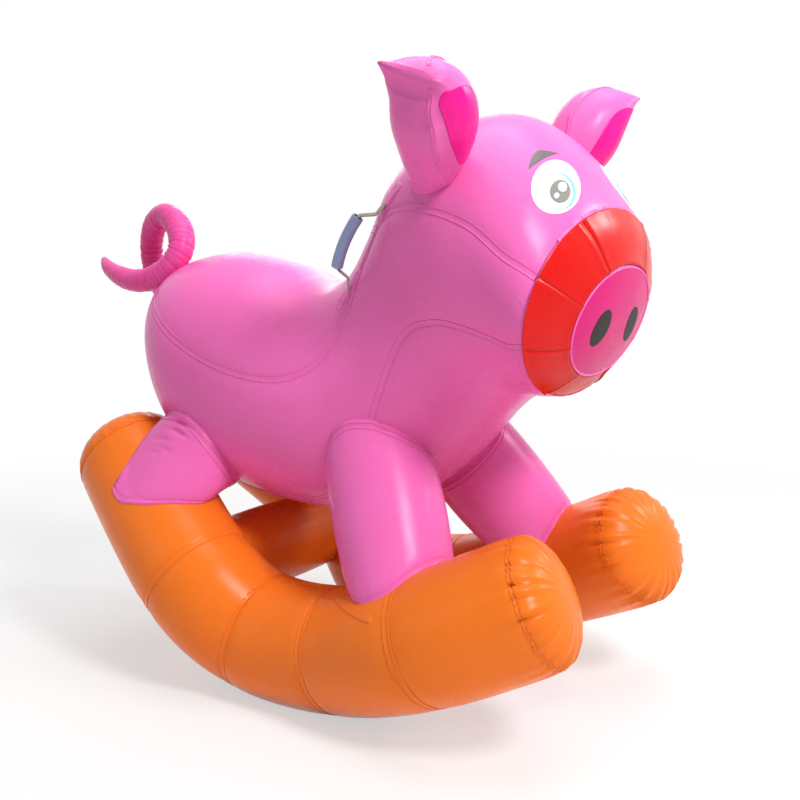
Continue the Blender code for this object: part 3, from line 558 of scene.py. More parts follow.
discForward = np.array([math.cos(discTilt), 0.0, -math.sin(discTilt)])
discCentre = np.array(muzzle["discCentre"])


def muzzleGrid():
    backX, backZ, bellyX, bellyZ, halfWidth = trunk["line"][-1][:5]
    faceBack, faceBelly = np.array([backX, 0.0, backZ]), np.array([bellyX, 0.0, bellyZ])
    t = np.linspace(0.0, 1.0, muzzle["rows"])[:, None]
    welds = list(muzzle["gores"]) + [muzzle["gores"][0] + 360]
    angles, distance = [], []
    for start, end in zip(welds, welds[1:]):
        share = np.arange(muzzle["goreColumns"]) / muzzle["goreColumns"]
        angles.append(start + (end - start) * share)
        distance.append(np.minimum(share, 1 - share) * (end - start))
    turn = np.radians(np.concatenate(angles))[None, :]
    swell = muzzle["swell"] * 4 * t * (1 - t)
    faceHeight = np.linalg.norm(faceBack - faceBelly) / 2
    centre = (faceBack + faceBelly) / 2 * (1 - t) + discCentre * t
    up = unit(unit(faceBack - faceBelly) * (1 - t) + discUp * t)
    wide = halfWidth + (muzzle["discHalf"][0] - halfWidth) * t + swell
    high = faceHeight + (muzzle["discHalf"][1] - faceHeight) * t + swell
    points = centre[:, None] + up[:, None] * (high * np.cos(turn))[..., None]
    points[..., 1] -= wide * np.sin(turn)
    outward = points - centre[:, None] - np.array([0.15, 0.0, 0.0])
    metres = np.concatenate(distance)[None, :] * math.pi / 180 * wide
    dip = -muzzle["valley"] * bell(metres, muzzle["valleyWidth"])
    length = np.linalg.norm(points[-1] - points[0], axis=-1)[None, :]
    for away, seed, share in ((t * length, 2.0, 1.0), ((1 - t) * length, 4.0, muzzle["snoutPucker"])):
        pucker = share * muzzle["pucker"] * wobble(turn * muzzle["puckerCount"], seed)
        dip = dip + pucker * fading(away, muzzle["puckerReach"])
        dip = dip - muzzle["valley"] * bell(away, muzzle["valleyWidth"])
    return points + surfaceNormals(points, outward, True) * dip[..., None], outward


def smoothRim(rim, reach=23):  # the rim without its puckers
    loop = np.vstack([rim] * 3)
    weights = np.hanning(reach) / np.hanning(reach).sum()
    smooth = np.stack([np.convolve(loop[:, axis], weights, "same") for axis in range(3)], axis=1)
    return smooth[len(rim):2 * len(rim)]


def buildPiping(rim):  # the rolled edge between the cone and the disc, made pale pink as a painted highlight along it
    path = evenPoints(rim, muzzle["pipingSpacing"], True)
    turn = np.radians(np.linspace(*muzzle["pipingTurn"], 15))[:, None, None]
    outward = unit(path - discCentre)[None] * np.cos(turn) + discForward * np.sin(turn)
    points = path[None] + discForward * muzzle["pipingRise"] + outward * muzzle["pipingRadius"]
    # the pale pink skin on the piping is painted highlight: it stands in for light caught along the rolled
    # edge
    bandPiece("snout_ring_weld", points, outward, skins["pink"])


def buildDisc(rim):
    share = np.linspace(1.0, 0.03, muzzle["discRows"])[:, None]
    away = (1 - share) * muzzle["discReach"]
    pucker = wobble(roundTurns(len(rim))[None, :] * muzzle["discPuckerCount"], 3.0) * muzzle["discPucker"]
    lift = muzzle["crown"] * (1 - share**2) ** muzzle["crownShape"]
    pucker = pucker * (1 - fading(away, muzzle["discPuckerFade"]))
    lift = lift + pucker * fading(away, muzzle["discPuckerReach"])
    smooth = smoothRim(rim)
    edge = smooth[None] + (rim - smooth)[None] * fading(away, muzzle["rimReach"])[..., None]
    points = discCentre + (edge - discCentre) * share[..., None] + discForward * lift[..., None]
    outward = np.broadcast_to(discForward, points.shape)
    return skinPiece("snout_disc", points, outward, skins["snout"], wrap=True,
                     endTip=discCentre + discForward * muzzle["crown"])


def buildMuzzle():
    points, outward = muzzleGrid()
    step = muzzle["goreColumns"]
    gores = range(len(muzzle["gores"]))
    made = []
    for gore in gores:
        columns = (gore * step + np.arange(step + 1)) % points.shape[1]
        name = f"muzzle_gore_{gore + 1}"
        made.append(skinPiece(name, points[:, columns], outward[:, columns], skins["red"]))
    tree = treeOf(*made)
    for gore in gores:
        weldBand(f"muzzle_gore_weld_{gore + 1}", points[1:-1, gore * step], tree, skins["red"],
                 halfWidth=muzzle["goreWeld"])
    ringTree = treeOf(*made, *trunkPieces)
    weldBand("muzzle_ring_weld", points[0], ringTree, skins["pink"], True, muzzle["ringWeld"])
    disc = buildDisc(points[-1])
    buildPiping(smoothRim(points[-1]))
    return disc


snoutTree = treeOf(buildMuzzle())
print("muzzle and snout made")


# rockers: sleeves between domed caps, welded in rings

rocker = {
    "welds": (
        (-0.460, 0.222, 0.474), (-0.165, 0.304, 0.249), (-0.012, 0.264, 0.1344),
        (0.222, 0.262, 0.1344), (0.463, 0.296, 0.219), (0.684, 0.245, 0.324),
    ),
    "radius": 0.137, "stepsPerSleeve": 26, "columns": 120,
    "frontCap": 0.062, "rearCap": 0.088, "capRows": 18, "capTurn": 0.985,
    "dip": 0.0030, "dipWidth": 0.017, "ripple": 0.0007, "rippleCount": 9, "rippleReach": 0.03,
    "frontTuck": 0.0150, "rearTuck": 0.0040, "tuckReach": 0.036, "tuckCount": 22, "tuckFade": 0.004,
    "sleeveWeld": 0.0085, "capWeld": 0.0045,
}


def rimTucks(turns, away, height, seed):
    return -height * tucks(turns * rocker["tuckCount"], seed) * fading(away, rocker["tuckReach"])


def rockerGrid(side):
    step = rocker["stepsPerSleeve"]
    count = len(rocker["welds"]) - 1
    centres = smoothLine(rocker["welds"], count * step + 1) * (1.0, side, 1.0)
    along, level, upright = lineFrames(centres)
    run = runLength(centres)
    turns = roundTurns(rocker["columns"])
    radius = np.full((len(centres), len(turns)), rocker["radius"])
    for index in range(count + 1):
        away = run - run[index * step]
        radius -= rocker["dip"] * bell(away, rocker["dipWidth"])[:, None]
        lines = wobble(turns * rocker["rippleCount"], index + side)[None, :] * rocker["ripple"]
        radius += lines * fading(away, rocker["rippleReach"])[:, None]
    ends = {"rear": (0, -1, run, 6.0 + side), "front": (-1, 1, run[-1] - run, 2.0 + side)}
    for end, (row, way, away, seed) in ends.items():
        radius += rimTucks(turns[None, :], away[:, None], rocker[end + "Tuck"], seed)
    tube = ringPoints(centres, level, upright, radius, turns)
    caps = []
    for end, (row, way, away, seed) in ends.items():
        outward, depth = along[row] * way, rocker[end + "Cap"]
        bend = np.linspace(0.0, 0.5 * math.pi * rocker["capTurn"], rocker["capRows"])[:, None, None]
        rows = centres[row] + (tube[row][None] - centres[row]) * np.cos(bend) + outward * depth * np.sin(bend)
        away = rocker["radius"] * (1 - np.cos(bend[..., 0])) + depth * np.sin(bend[..., 0])
        lift = rimTucks(turns[None, :], away, rocker[end + "Tuck"], seed)
        lift = lift * (1 - fading(away, rocker["tuckFade"]))
        caps.append((end, rows + outward * lift[..., None], centres[row] + outward * depth))
    for rows in [tube] + [cap[1] for cap in caps]:
        rows[..., 2] = np.maximum(rows[..., 2], 0.0)
    return tube, caps, centres


def buildRocker(word, side):
    tube, caps, centres = rockerGrid(side)
    step = rocker["stepsPerSleeve"]
    last = len(rocker["welds"]) - 1
    made = []
    for sleeve in range(last):
        rows = slice(sleeve * step, (sleeve + 1) * step + 1)
        name, outward = f"{word}_rocker_sleeve_{sleeve + 1}", tube[rows] - centres[rows, None]
        made.append(skinPiece(name, tube[rows], outward, skins["orange"], wrap=True))
    for end, rows, tip in caps:
        middle = rows.mean(axis=1, keepdims=True) - (tip - rows[0].mean(axis=0))
        name = f"{word}_rocker_{end}_cap"
        made.append(skinPiece(name, rows, rows - middle, skins["orange"], wrap=True, endTip=tip))
    tree = treeOf(*made)
    for index in range(last + 1):
        weldBand(f"{word}_rocker_weld_{index + 1}", tube[index * step], tree, skins["orange"], True,
                 rocker["sleeveWeld" if 0 < index < last else "capWeld"])
    return tree


rockerTrees = {word: buildRocker(word, side) for word, side in sides.items()}
print("rockers made")


# tubes that end on other skins: the legs and the cross tube

tubes = {
    "legs": {
        "front_leg": ((0.230, 0.145, 0.570), (0.384, 0.266, 0.290)),
        "rear_leg": ((-0.212, 0.152, 0.585), (-0.282, 0.286, 0.400)),
    },
    "rearFoot": (  # where the rear leg's fabric meets the rocker
        (-0.350, 0.384, 0.441), (-0.317, 0.393, 0.418), (-0.271, 0.390, 0.417), (-0.233, 0.379, 0.417),
        (-0.194, 0.355, 0.418), (-0.163, 0.324, 0.414), (-0.151, 0.285, 0.411), (-0.174, 0.235, 0.416),
        (-0.222, 0.198, 0.430), (-0.272, 0.200, 0.478), (-0.308, 0.235, 0.520), (-0.322, 0.275, 0.532),
        (-0.329, 0.308, 0.522), (-0.338, 0.340, 0.502), (-0.348, 0.366, 0.474),
    ),
    "legRadius": (0.118, 0.112), "legBulge": 0.006, "farFootShift": (0.044, 0.004, 0.0),
    "crossPlace": (-0.190, 0.250), "crossRadius": 0.096, "crossReach": 0.30, "crossBulge": 0.004,
    "columns": 96, "rows": 84, "reachBeyond": 0.16, "trials": 120, "sink": 0.003, "footRise": 0.0014,
    "pinch": 0.0034, "pinchWidth": 0.016, "tuck": 0.0022, "tuckCount": 15, "tuckReach": 0.035,
    "footShare": 0.3, "foldSlant": 0.003,
    "rearFolds": (  # turn round the leg, width round it, distance from the top, width, depth
        (1.72, 0.28, 0.028, 0.0055, 0.0110), (1.60, 0.24, 0.049, 0.0055, 0.0090),
        (1.85, 0.18, 0.080, 0.005, 0.0045), (1.62, 0.20, 0.098, 0.005, 0.0045),
        (1.80, 0.16, 0.114, 0.005, 0.0035),
    ),
    "legBands": (("top", 0.0075, 0.0080), ("top", 0.0240, 0.0055), ("foot", 0.0075, 0.0080)),
    "crossBands": (("top", 0.0075, 0.0075), ("foot", 0.0075, 0.0075)),
}


def skinCrossing(start, axis, tree, reach, leaving):  # how far along a line it leaves or enters a skin
    height = []
    for length in reach:
        point = Vector(start + axis * length)
        spot, normal = tree.find_nearest(point)[:2]
        height.append((point - spot).dot(normal))
    height = np.array(height)
    inside = height < 0
    change = np.nonzero(inside[:-1] & ~inside[1:])[0] if leaving else np.nonzero(~inside[:-1] & inside[1:])[0]
    if len(change) == 0:  # a line that passes by the skin ends where it comes closest
        return reach[int(height.argmin())]
    at = change[-1] if leaving else change[0]
    share = height[at] / (height[at] - height[at + 1])
    return reach[at] + share * (reach[at + 1] - reach[at])


def openTube(start, end, radii, bulge, startTree, endTree, seed, folds=(), foot=None):
    start, end = np.array(start), np.array(end)
    length = np.linalg.norm(end - start)
    axis = (end - start) / length
    level = unit(np.cross(axis, (0.0, 1.0, 0.0)) if abs(axis[1]) < 0.9 else np.array((1.0, 0.0, 0.0)))
    across = np.cross(axis, level)
    turns = roundTurns(tubes["columns"])
    spokes = level * np.cos(turns)[:, None] + across * np.sin(turns)[:, None]
    beyond = tubes["reachBeyond"]
    startReach = np.linspace(-beyond, length / 2, tubes["trials"])
    endReach = np.linspace(length / 2, length + beyond, tubes["trials"])
    first = [skinCrossing(start + spoke * radii[0], axis, startTree, startReach, True) for spoke in spokes]
    if foot is None:
        last = [skinCrossing(start + spoke * radii[1], axis, endTree, endReach, False) for spoke in spokes]
    else:  # the end follows an outline on the other skin
        line = settle(closedCurve(foot, 240), endTree, 0.0)[0] - start
        turned = np.arctan2(line @ across, line @ level)
        order = np.argsort(turned)
        last, far = (np.interp(turns, turned[order], values[order], period=math.tau)
                     for values in (line @ axis, np.hypot(line @ across, line @ level)))
        radii = (radii[0], far[None])
    return {"start": start, "axis": axis, "turns": turns, "spokes": spokes, "radii": radii, "bulge": bulge,
            "first": np.array(first), "last": np.array(last), "seed": seed, "folds": folds,
            "skin": None if foot is None else endTree}


def tubeSurface(tube, along, extra=0.0):  # along holds a distance for each row and column
    first, last, turns = tube["first"][None], tube["last"][None], tube["turns"][None]
    share = np.clip((along - first) / (last - first), 0.0, 1.0)
    radius = tube["radii"][0] + (tube["radii"][1] - tube["radii"][0]) * share
    radius = radius + tube["bulge"] * np.sin(math.pi * share)
    for away, seed in ((along - first, 1.0), (last - along, 5.0)):
        away = np.maximum(away, 0.0)
        radius = radius - tubes["pinch"] * bell(away, tubes["pinchWidth"])
        depth = tubes["tuck"] * tucks(turns * tubes["tuckCount"], tube["seed"] + seed)
        radius = radius - depth * fading(away, tubes["tuckReach"])
    for turn, wide, spot, long, depth in tube["folds"]:
        sideways = (turns - turn + math.pi) % math.tau - math.pi
        bend = spot + tubes["foldSlant"] * sideways / wide
        radius = radius - depth * np.exp(-(sideways / wide)**2 - ((along - first - bend) / long)**2)
    centre = tube["start"] + tube["axis"] * along[..., None]
    points = centre + tube["spokes"][None] * (radius + extra)[..., None]
    if tube["skin"] is None:
        return points
    # the foot lies on the rocker's skin
    low, normals = settle(points, tube["skin"], tubes["footRise"] + extra)
    under = np.sum((points - low) * normals, axis=-1) < 0
    return np.where((under & (share > tubes["footShare"]))[..., None], low, points)


def buildTube(node, tube, material, bands):
    share = 0.5 - 0.5 * np.cos(math.pi * np.linspace(0, 1, tubes["rows"]))[:, None]
    along = (tube["first"] - tubes["sink"])[None] * (1 - share) + (tube["last"] + tubes["sink"])[None] * share
    points = tubeSurface(tube, along)
    skinPiece(node, points, np.broadcast_to(tube["spokes"], points.shape), material, wrap=True)
    for index, (end, away, half) in enumerate(bands):
        base = tube["first"] + away if end == "top" else tube["last"] - away
        rows = [tubeSurface(tube, (base + offset)[None], height)[0] for offset, height in weldProfile(half)]
        rows = np.array(rows)
        bandPiece(f"{node}_weld_{index + 1}", rows, np.broadcast_to(tube["spokes"], rows.shape), material)


def buildLeg(word, side, node, line):
    start, end = np.array(line) * (1.0, side, 1.0)
    if (word, node) == ("left", "front_leg"):
        end = end + tubes["farFootShift"]
    seed, folds, foot = side + 9.0, (), None
    if node == "rear_leg":
        seed, foot = side + 3.0, np.array(tubes["rearFoot"]) * (1.0, side, 1.0)
        folds = [(-side * turn, *fold) for turn, *fold in tubes["rearFolds"]]
    leg = openTube(start, end, tubes["legRadius"], tubes["legBulge"], trunkTree, rockerTrees[word], seed,
                   folds, foot)
    buildTube(f"{word}_{node}", leg, skins["pink"], tubes["legBands"])


def buildCrossTube():
    (x, z), reach, radius = tubes["crossPlace"], tubes["crossReach"], tubes["crossRadius"]
    tube = openTube((x, -reach, z), (x, reach, z), (radius, radius), tubes["crossBulge"],
                    rockerTrees["right"], rockerTrees["left"], 2.0)
    buildTube("cross_tube", tube, skins["orange"], tubes["crossBands"])


footTab = {  # a small pointed flap of the base's fabric at each front foot
    "outline": ((0.262, 0.322, 0.276), (0.302, 0.348, 0.284), (0.350, 0.378, 0.288), (0.402, 0.401, 0.283),
                (0.400, 0.409, 0.272), (0.345, 0.391, 0.272), (0.296, 0.362, 0.270), (0.258, 0.330, 0.268)),
    "rings": ((1.0, -0.0008), (0.97, 0.0012), (0.85, 0.0016), (0.5, 0.0015), (0.1, 0.0014)),
}

for word, side in sides.items():
    for node, line in tubes["legs"].items():
        buildLeg(word, side, node, line)
buildCrossTube()
for word, side in sides.items():
    outline = closedCurve(np.array(footTab["outline"]) * (1.0, side, 1.0), 72)
    laidPatch(word + "_foot_tab", outline, footTab["rings"], rockerTrees[word], skins["orange"],
              "orange_skin")
print("legs and cross tube made")


# ears: pillows with a darker patch inside

ear = {
    "line": (  # x, y, z, half depth, half width
        (0.408, 0.198, 1.070, 0.036, 0.036), (0.420, 0.222, 1.112, 0.041, 0.040),
        (0.452, 0.268, 1.166, 0.062, 0.058), (0.484, 0.315, 1.222, 0.080, 0.076),
        (0.502, 0.350, 1.268, 0.080, 0.070), (0.512, 0.388, 1.298, 0.077, 0.046),
        (0.516, 0.420, 1.308, 0.077, 0.010),
    ),
    "topShift": {"right": (0.0, 0.0, -0.021), "left": (0.0, -0.018, 0.030)},
    "corners": {"right": (0.40, 1.02), "left": (1.02, 0.66)},  # reach of the closing weld, front and back
    "tilt": {"right": 0.34, "left": 0.0}, "closing": {"right": 0.56, "left": 0.70},
    "columns": 128, "rows": 72, "tipRows": 16,
    "seams": {  # place along the ear and turn round it, outward from its front
        "outer": ((0.9, 10), (1.3, 24), (1.8, 38), (2.56, 59), (3.1, 65), (3.7, 67), (4.5, 73), (5.2, 70),
                  (5.65, 59)),
        "inner": ((0.9, -24), (1.8, -50), (2.8, -79), (3.25, -89), (3.8, -90), (4.26, -85), (5.2, -80),
                  (5.65, -66)),
    },
    "seamWeld": 0.0035, "rootWeld": 0.006, "rootPlace": 0.85,
    "gusset": 0.0045, "gussetTurn": 7.0, "flatTurn": 105, "flatWidth": 26.0, "flatDepth": 0.0036,
    "ripple": 0.0012, "ripples": (5, 9),
    "rootTuck": 0.004, "rootTucks": 12, "rootTuckPlace": 0.7, "rootTuckReach": 0.35,
    "patch": (
        (5.27, 28), (5.27, 42), (5.05, 53), (4.57, 56), (3.64, 49), (3.02, 42), (2.45, 28), (2.18, 10),
        (2.24, -8), (2.60, -22), (3.05, -29), (3.40, -32), (3.78, -31), (4.26, -23), (4.68, -10), (5.00, 8),
    ),
    "patchEdge": ((1.0, -0.0006), (0.985, 0.00098), (0.95, 0.00182), (0.92, 0.0014)),
    "patchRise": 0.0014, "patchRings": 14, "patchShares": (0.84, 0.04),
}


def earPoints(word, side, places, turns):  # places and turns are of one shape
    last = len(ear["line"]) - 1
    fine = np.linspace(0, last, 241)
    rows = curveRows(ear["line"], fine)
    centres = rows[:, :3] + np.array(ear["topShift"][word]) * (fine / last)[:, None]**1.5
    centres = centres * (1.0, side, 1.0)
    along = unit(np.gradient(centres, axis=0))
    front = unit(np.array((1.0, 0.0, 0.0)) - along * along[:, :1])
    wide = np.cross(along, front) * side

    def at(values):
        return np.stack([np.interp(places, fine, column) for column in values.T], axis=-1)

    centre, front, wide, sizes = at(centres), at(front), at(wide), at(rows[:, 3:])
    share = places / last
    degrees = np.degrees(turns)
    frontReach, backReach = ear["corners"][word]
    closing = ear["closing"][word]
    close = np.clip((share - closing) / (1 - closing), 0.0, 1.0)**2
    corner = 1.0 + close * (np.where(np.cos(turns) > 0, frontReach, backReach) - 1.0)
    gusset = -ear["flatDepth"] * bell(turnsApart(degrees, ear["flatTurn"]), ear["flatWidth"])
    for seam in ear["seams"].values():
        seamPlaces, seamTurns = np.array(seam, float).T
        away = turnsApart(degrees, np.interp(places, seamPlaces, seamTurns))
        gusset = gusset + bell(away, ear["gussetTurn"]) * ear["gusset"]
    gusset = gusset * np.sin(math.pi * np.clip(share, 0.02, 0.98))**0.6
    ripplesRound, ripplesAlong = ear["ripples"]
    gusset = gusset + ear["ripple"] * wobble(turns * ripplesRound + share * ripplesAlong, side) * share
    root = fading(places - ear["rootTuckPlace"], ear["rootTuckReach"])
    gusset = gusset - ear["rootTuck"] * tucks(turns * ear["rootTucks"], 3.0 + side) * root
    frontOff = (sizes[..., 0] * corner + gusset) * np.cos(turns)
    wideOff = (sizes[..., 1] + gusset * np.clip(sizes[..., 1] / 0.05, 0, 1)) * np.sin(turns)
    drop = np.array((0.0, 0.0, -1.0)) * (ear["tilt"][word] * close * frontOff)[..., None]
    return centre + front * frontOff[..., None] + wide * wideOff[..., None] + drop, centre


def buildEar(word, side):
    body = len(ear["line"]) - 1.5
    tip = body + 0.5 * np.sin(np.linspace(0, 1, ear["tipRows"]) * math.pi / 2)
    places = np.concatenate([np.linspace(0, body, ear["rows"])[:-1], tip])
    turns = np.linspace(-math.pi, math.pi, ear["columns"], endpoint=False)
    points, centres = earPoints(word, side, *np.meshgrid(places, turns, indexing="ij"))
    tree = treeOf(skinPiece(word + "_ear", points, points - centres, skins["pink"], wrap=True, endTip=True))

    outline = closedCurve(ear["patch"], 90)
    middle = outline.mean(axis=0)
    rings = [(share, ear["patchRise"]) for share in np.linspace(*ear["patchShares"], ear["patchRings"])]
    rings = np.array(list(ear["patchEdge"]) + rings)
    spots = middle + (outline - middle)[None] * rings[:, :1, None]
    surface = earPoints(word, side, spots[..., 0], np.radians(spots[..., 1]))[0]
    points, outward = settle(surface, tree, rings[:, 1:])
    skinPiece(word + "_ear_inner_patch", points, outward, skins["magenta"], None, wrap=True, endTip=True)

    for edge, seam in ear["seams"].items():
        line = smoothLine(seam, 60)
        path = earPoints(word, side, line[:, 0], np.radians(line[:, 1]))[0]
        weldBand(f"{word}_ear_{edge}_weld", path, tree, skins["pink"], halfWidth=ear["seamWeld"])
    turns = np.linspace(-math.pi, math.pi, 64, endpoint=False)
    ring = earPoints(word, side, np.full(64, ear["rootPlace"]), turns)[0]
    weldBand(word + "_ear_root_weld", ring, tree, skins["pink"], True, ear["rootWeld"])


for word, side in sides.items():
    buildEar(word, side)
print("ears made")


# tail: one crinkled tube in a curl

tail = {
    "line": (  # x, y, z, radius
        (-0.466, 0.000, 0.866, 0.042), (-0.532, 0.016, 0.870, 0.040), (-0.596, 0.028, 0.886, 0.035),
        (-0.634, 0.030, 0.936, 0.031), (-0.642, 0.028, 0.998, 0.031), (-0.610, 0.014, 1.054, 0.032),
        (-0.548, -0.004, 1.076, 0.033), (-0.480, -0.028, 1.046, 0.034), (-0.450, -0.048, 0.998, 0.034),
        (-0.466, -0.066, 0.952, 0.033), (-0.518, -0.078, 0.918, 0.032), (-0.588, -0.080, 0.908, 0.030),
        (-0.658, -0.072, 0.920, 0.026), (-0.718, -0.056, 0.940, 0.019), (-0.761, -0.034, 0.960, 0.010),
    ),
    "rows": 420, "columns": 56, "tip": 0.010, "rootRow": 30, "rootWeld": 0.006,
    "waver": 0.02, "waverRate": 40, "crinkleLean": 0.8, "crinkleTwist": 9,
    "crinkle": 0.0085, "crinkleLength": 0.027, "mostCrinkle": 0.27, "outerCrinkle": 0.25, "fullBend": 12.0,
}


def buildTail():
    rows = smoothLine(tail["line"], tail["rows"])
    centres, sizes = rows[:, :3], rows[:, 3:4]
    along = unit(np.gradient(centres, axis=0))
    level = np.zeros_like(centres)
    way = np.array((0.0, 1.0, 0.0))
    for index, tangent in enumerate(along):
        way = unit(way - tangent * way.dot(tangent))
        level[index] = way
    across = np.cross(along, level)
    turns = roundTurns(tail["columns"])
    run = runLength(centres)[:, None]
    bend = np.gradient(along, axis=0) / np.maximum(np.gradient(run[:, 0]), 1e-6)[:, None]
    inward = (level * bend).sum(axis=1)[:, None] * np.cos(turns)
    inward = inward + (across * bend).sum(axis=1)[:, None] * np.sin(turns)
    inner = np.clip(inward / tail["fullBend"], 0.0, 1.0)  # the crinkles are deeper inside the curl
    phase = math.tau * run / tail["crinkleLength"]
    folds = tucks(phase + tail["crinkleLean"] * np.sin(turns[None] + run * tail["crinkleTwist"]), 1.0)
    radius = sizes * (1 + tail["waver"] * wobble(run * tail["waverRate"] + turns[None] * 2, 4.0))
    deepest = np.minimum(tail["crinkle"], sizes * tail["mostCrinkle"])
    radius = radius - deepest * folds * (tail["outerCrinkle"] + (1 - tail["outerCrinkle"]) * inner)
    points = ringPoints(centres, level, across, radius, turns)
    piece = skinPiece("tail", points, points - centres[:, None], skins["crinkled"], wrap=True,
                      endTip=centres[-1] + along[-1] * tail["tip"])
    weldBand("tail_root_weld", points[tail["rootRow"]], treeOf(piece), skins["pink"], True, tail["rootWeld"])


buildTail()
print("tail made")


# handles: webbing through a hose, on welded pads

handle = {
    "outward": (-0.5882, 0.7554, 0.2888),
    "gripRise": 0.040, "gripBow": 0.006, "gripLength": 0.120, "gripRadius": 0.0125, "gripWall": 0.0040,
    "gripEnd": ((0.004, 0.0), (0.0008, 0.0002), (0.0, 0.0010), (0.0, 0.0028), (0.0010, 0.0040)),
    "gripOutside": 0.003, "gripInside": 0.012,  # how far from the end the straight walls start
    "strapWidth": 0.0142, "strapThickness": 0.0034, "strapGap": 0.0004,
    "strapRib": 0.0003, "strapRibs": 3, "strapSquareness": (0.35, 0.7),
    "padSize": (0.104, 0.032), "padRise": 0.0026,
    "padRings": (  # share of the pad's outline, rise above the skin
        (1.0, -0.0008), (0.975, 0.0012), (0.93, 0.0018), (0.86, 0.0006), (0.74, 0.0006), (0.68, 0.0016),
        (0.60, 0.0022), (0.45, 0.0024), (0.30, 0.0025), (0.15, 0.0026),
    ),
}


def gripHeight(x, chord):
    share = (x - chord / 2) / (handle["gripLength"] / 2)
    return handle["gripRise"] - handle["gripBow"] * share**2


def sweptRibbon(name, path, way, material):  # a strap's section carried along a path
    along = unit(np.gradient(path, axis=0))
    flat = unit(np.cross(way, along))
    half, thin = handle["strapWidth"] / 2, handle["strapThickness"] / 2
    t = roundTurns(28)
    wideSquare, thinSquare = handle["strapSquareness"]
    across = np.sign(np.cos(t)) * np.abs(np.cos(t))**wideSquare * half
    high = np.sign(np.sin(t)) * np.abs(np.sin(t))**thinSquare * thin
    ribs = np.cos(across / half * math.pi * handle["strapRibs"]) * np.sign(high)
    high = high + handle["strapRib"] * ribs
    points = path[:, None] + flat[:, None] * across[None, :, None] + way[:, None] * high[None, :, None]
    return gridPiece(name, points, points - path[:, None], material, wrap=True, startTip=path[0],
                     endTip=path[-1])


def padOutline(centre, along, normal):
    length, width = handle["padSize"]
    t = roundTurns(96)
    straight = (length - width) / 2
    long = width / 2 * np.cos(t) + straight * np.sign(np.cos(t)) * np.clip(np.abs(np.cos(t)) * 3, 0, 1)
    return centre + long[:, None] * along + (width / 2 * np.sin(t))[:, None] * np.cross(normal, along)


def buildGrip(word, origin, along, out, start, chord):
    outer, inner, long = handle["gripRadius"], handle["gripRadius"] - handle["gripWall"], handle["gripLength"]
    outside, inside = handle["gripOutside"], handle["gripInside"]
    rim = [(part, inner + rise) for part, rise in handle["gripEnd"]]
    profile = rim + [(part, outer) for part in np.linspace(outside, long - outside, 40)]
    profile = profile + [(long - part, radius) for part, radius in rim[::-1]]
    profile = profile + [(part, inner) for part in np.linspace(long - inside, inside, 12)]
    part, radius = np.array(profile).T
    x = start + part
    centre = origin + along * x[:, None] + out * gripHeight(x, chord)[:, None]
    tilt = unit(along + out * (-2 * handle["gripBow"] * (x - chord / 2) / (long / 2)**2)[:, None])
    level = unit(np.cross(tilt, out))
    points = ringPoints(centre, level, np.cross(level, tilt), radius[:, None], roundTurns(48))
    wallLine = centre[:, None] + (points - centre[:, None]) * ((inner + outer) / 2 / radius)[:, None, None]
    piece = gridPiece(word + "_handle_grip_hose", points, points - wallLine, gripPlastic, wrap=True,
                      ringed=True)
    place(piece, "grip_hose", word + "_handle_grip", body=word + "_handle")


def buildHandle(word, side):  # each half of the webbing runs from its pad into the grip
    joint = jointNamed(word + "_handle_swing")
    origin = np.array(joint["pos_m"])
    along = unit(np.array(joint["axis"]))
    out = unit(np.array(handle["outward"]) * (1.0, side, 1.0))
    out = unit(out - along * along.dot(out))
    strapNode = frame["nodes"][word + "_handle_strap"]
    gap = handle["strapGap"]
    chord = max((np.array(vertex.co) - origin).dot(along) for vertex in strapNode.data.vertices) + gap
    start = (chord - handle["gripLength"]) / 2
    t = np.linspace(0, 1, 26)
    rise = np.stack([gap + (start - gap) * t, gripHeight(start, chord) * eased(t)], axis=1)
    x = np.linspace(start, chord - start, 50)[1:-1]
    flat = np.vstack([rise, np.stack([x, gripHeight(x, chord)], axis=1), rise[::-1] * (-1, 1) + (chord, 0)])
    path = origin + flat[:, :1] * along + flat[:, 1:] * out
    slope = unit(np.gradient(flat, axis=0))
    way = -slope[:, 1:] * along + slope[:, :1] * out
    buildGrip(word, origin, along, out, start, chord)
    middle = len(path) // 2
    halves = {"lower": (0.0, slice(0, middle + 2)), "upper": (chord, slice(None, middle - 2, -1))}
    for end, (base, half) in halves.items():
        pad = f"{word}_handle_{end}_pad"
        low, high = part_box(pad)
        hit, normal = trunkTree.find_nearest(Vector((np.array(low) + np.array(high)) / 2))[:2]
        hit, normal = np.array(hit), np.array(normal)
        lay = unit(along - normal * normal.dot(along))
        laidPatch(pad + "_skin", padOutline(hit, lay, normal), handle["padRings"], trunkTree, skins["pink"],
                  "pink_skin", pad)
        pivot = origin + along * base
        foot = hit + normal * (handle["padRise"] + handle["strapThickness"] / 2) - pivot
        t = np.linspace(0, 1, 24)[:, None]
        tabPath = (pivot + lay * foot.dot(lay) * t + (foot - lay * foot.dot(lay)) * eased(t))[:0:-1]
        tabWay = unit(out * (1 - eased(t)) + normal * eased(t))[:0:-1]
        fullPath, fullWay = np.vstack([tabPath, path[half]]), np.vstack([tabWay, way[half]])
        tangent = unit(np.gradient(fullPath, axis=0))
        fullWay = unit(fullWay - tangent * np.sum(fullWay * tangent, axis=1, keepdims=True))
        strap = sweptRibbon(f"{word}_handle_{end}_webbing", fullPath, fullWay, webbing)
        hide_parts(f"{word}_handle_{end}_tab", word + "_handle_strap")
        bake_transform(strap)


for word, side in sides.items():
    buildHandle(word, side)
print("handles made")


# printed face

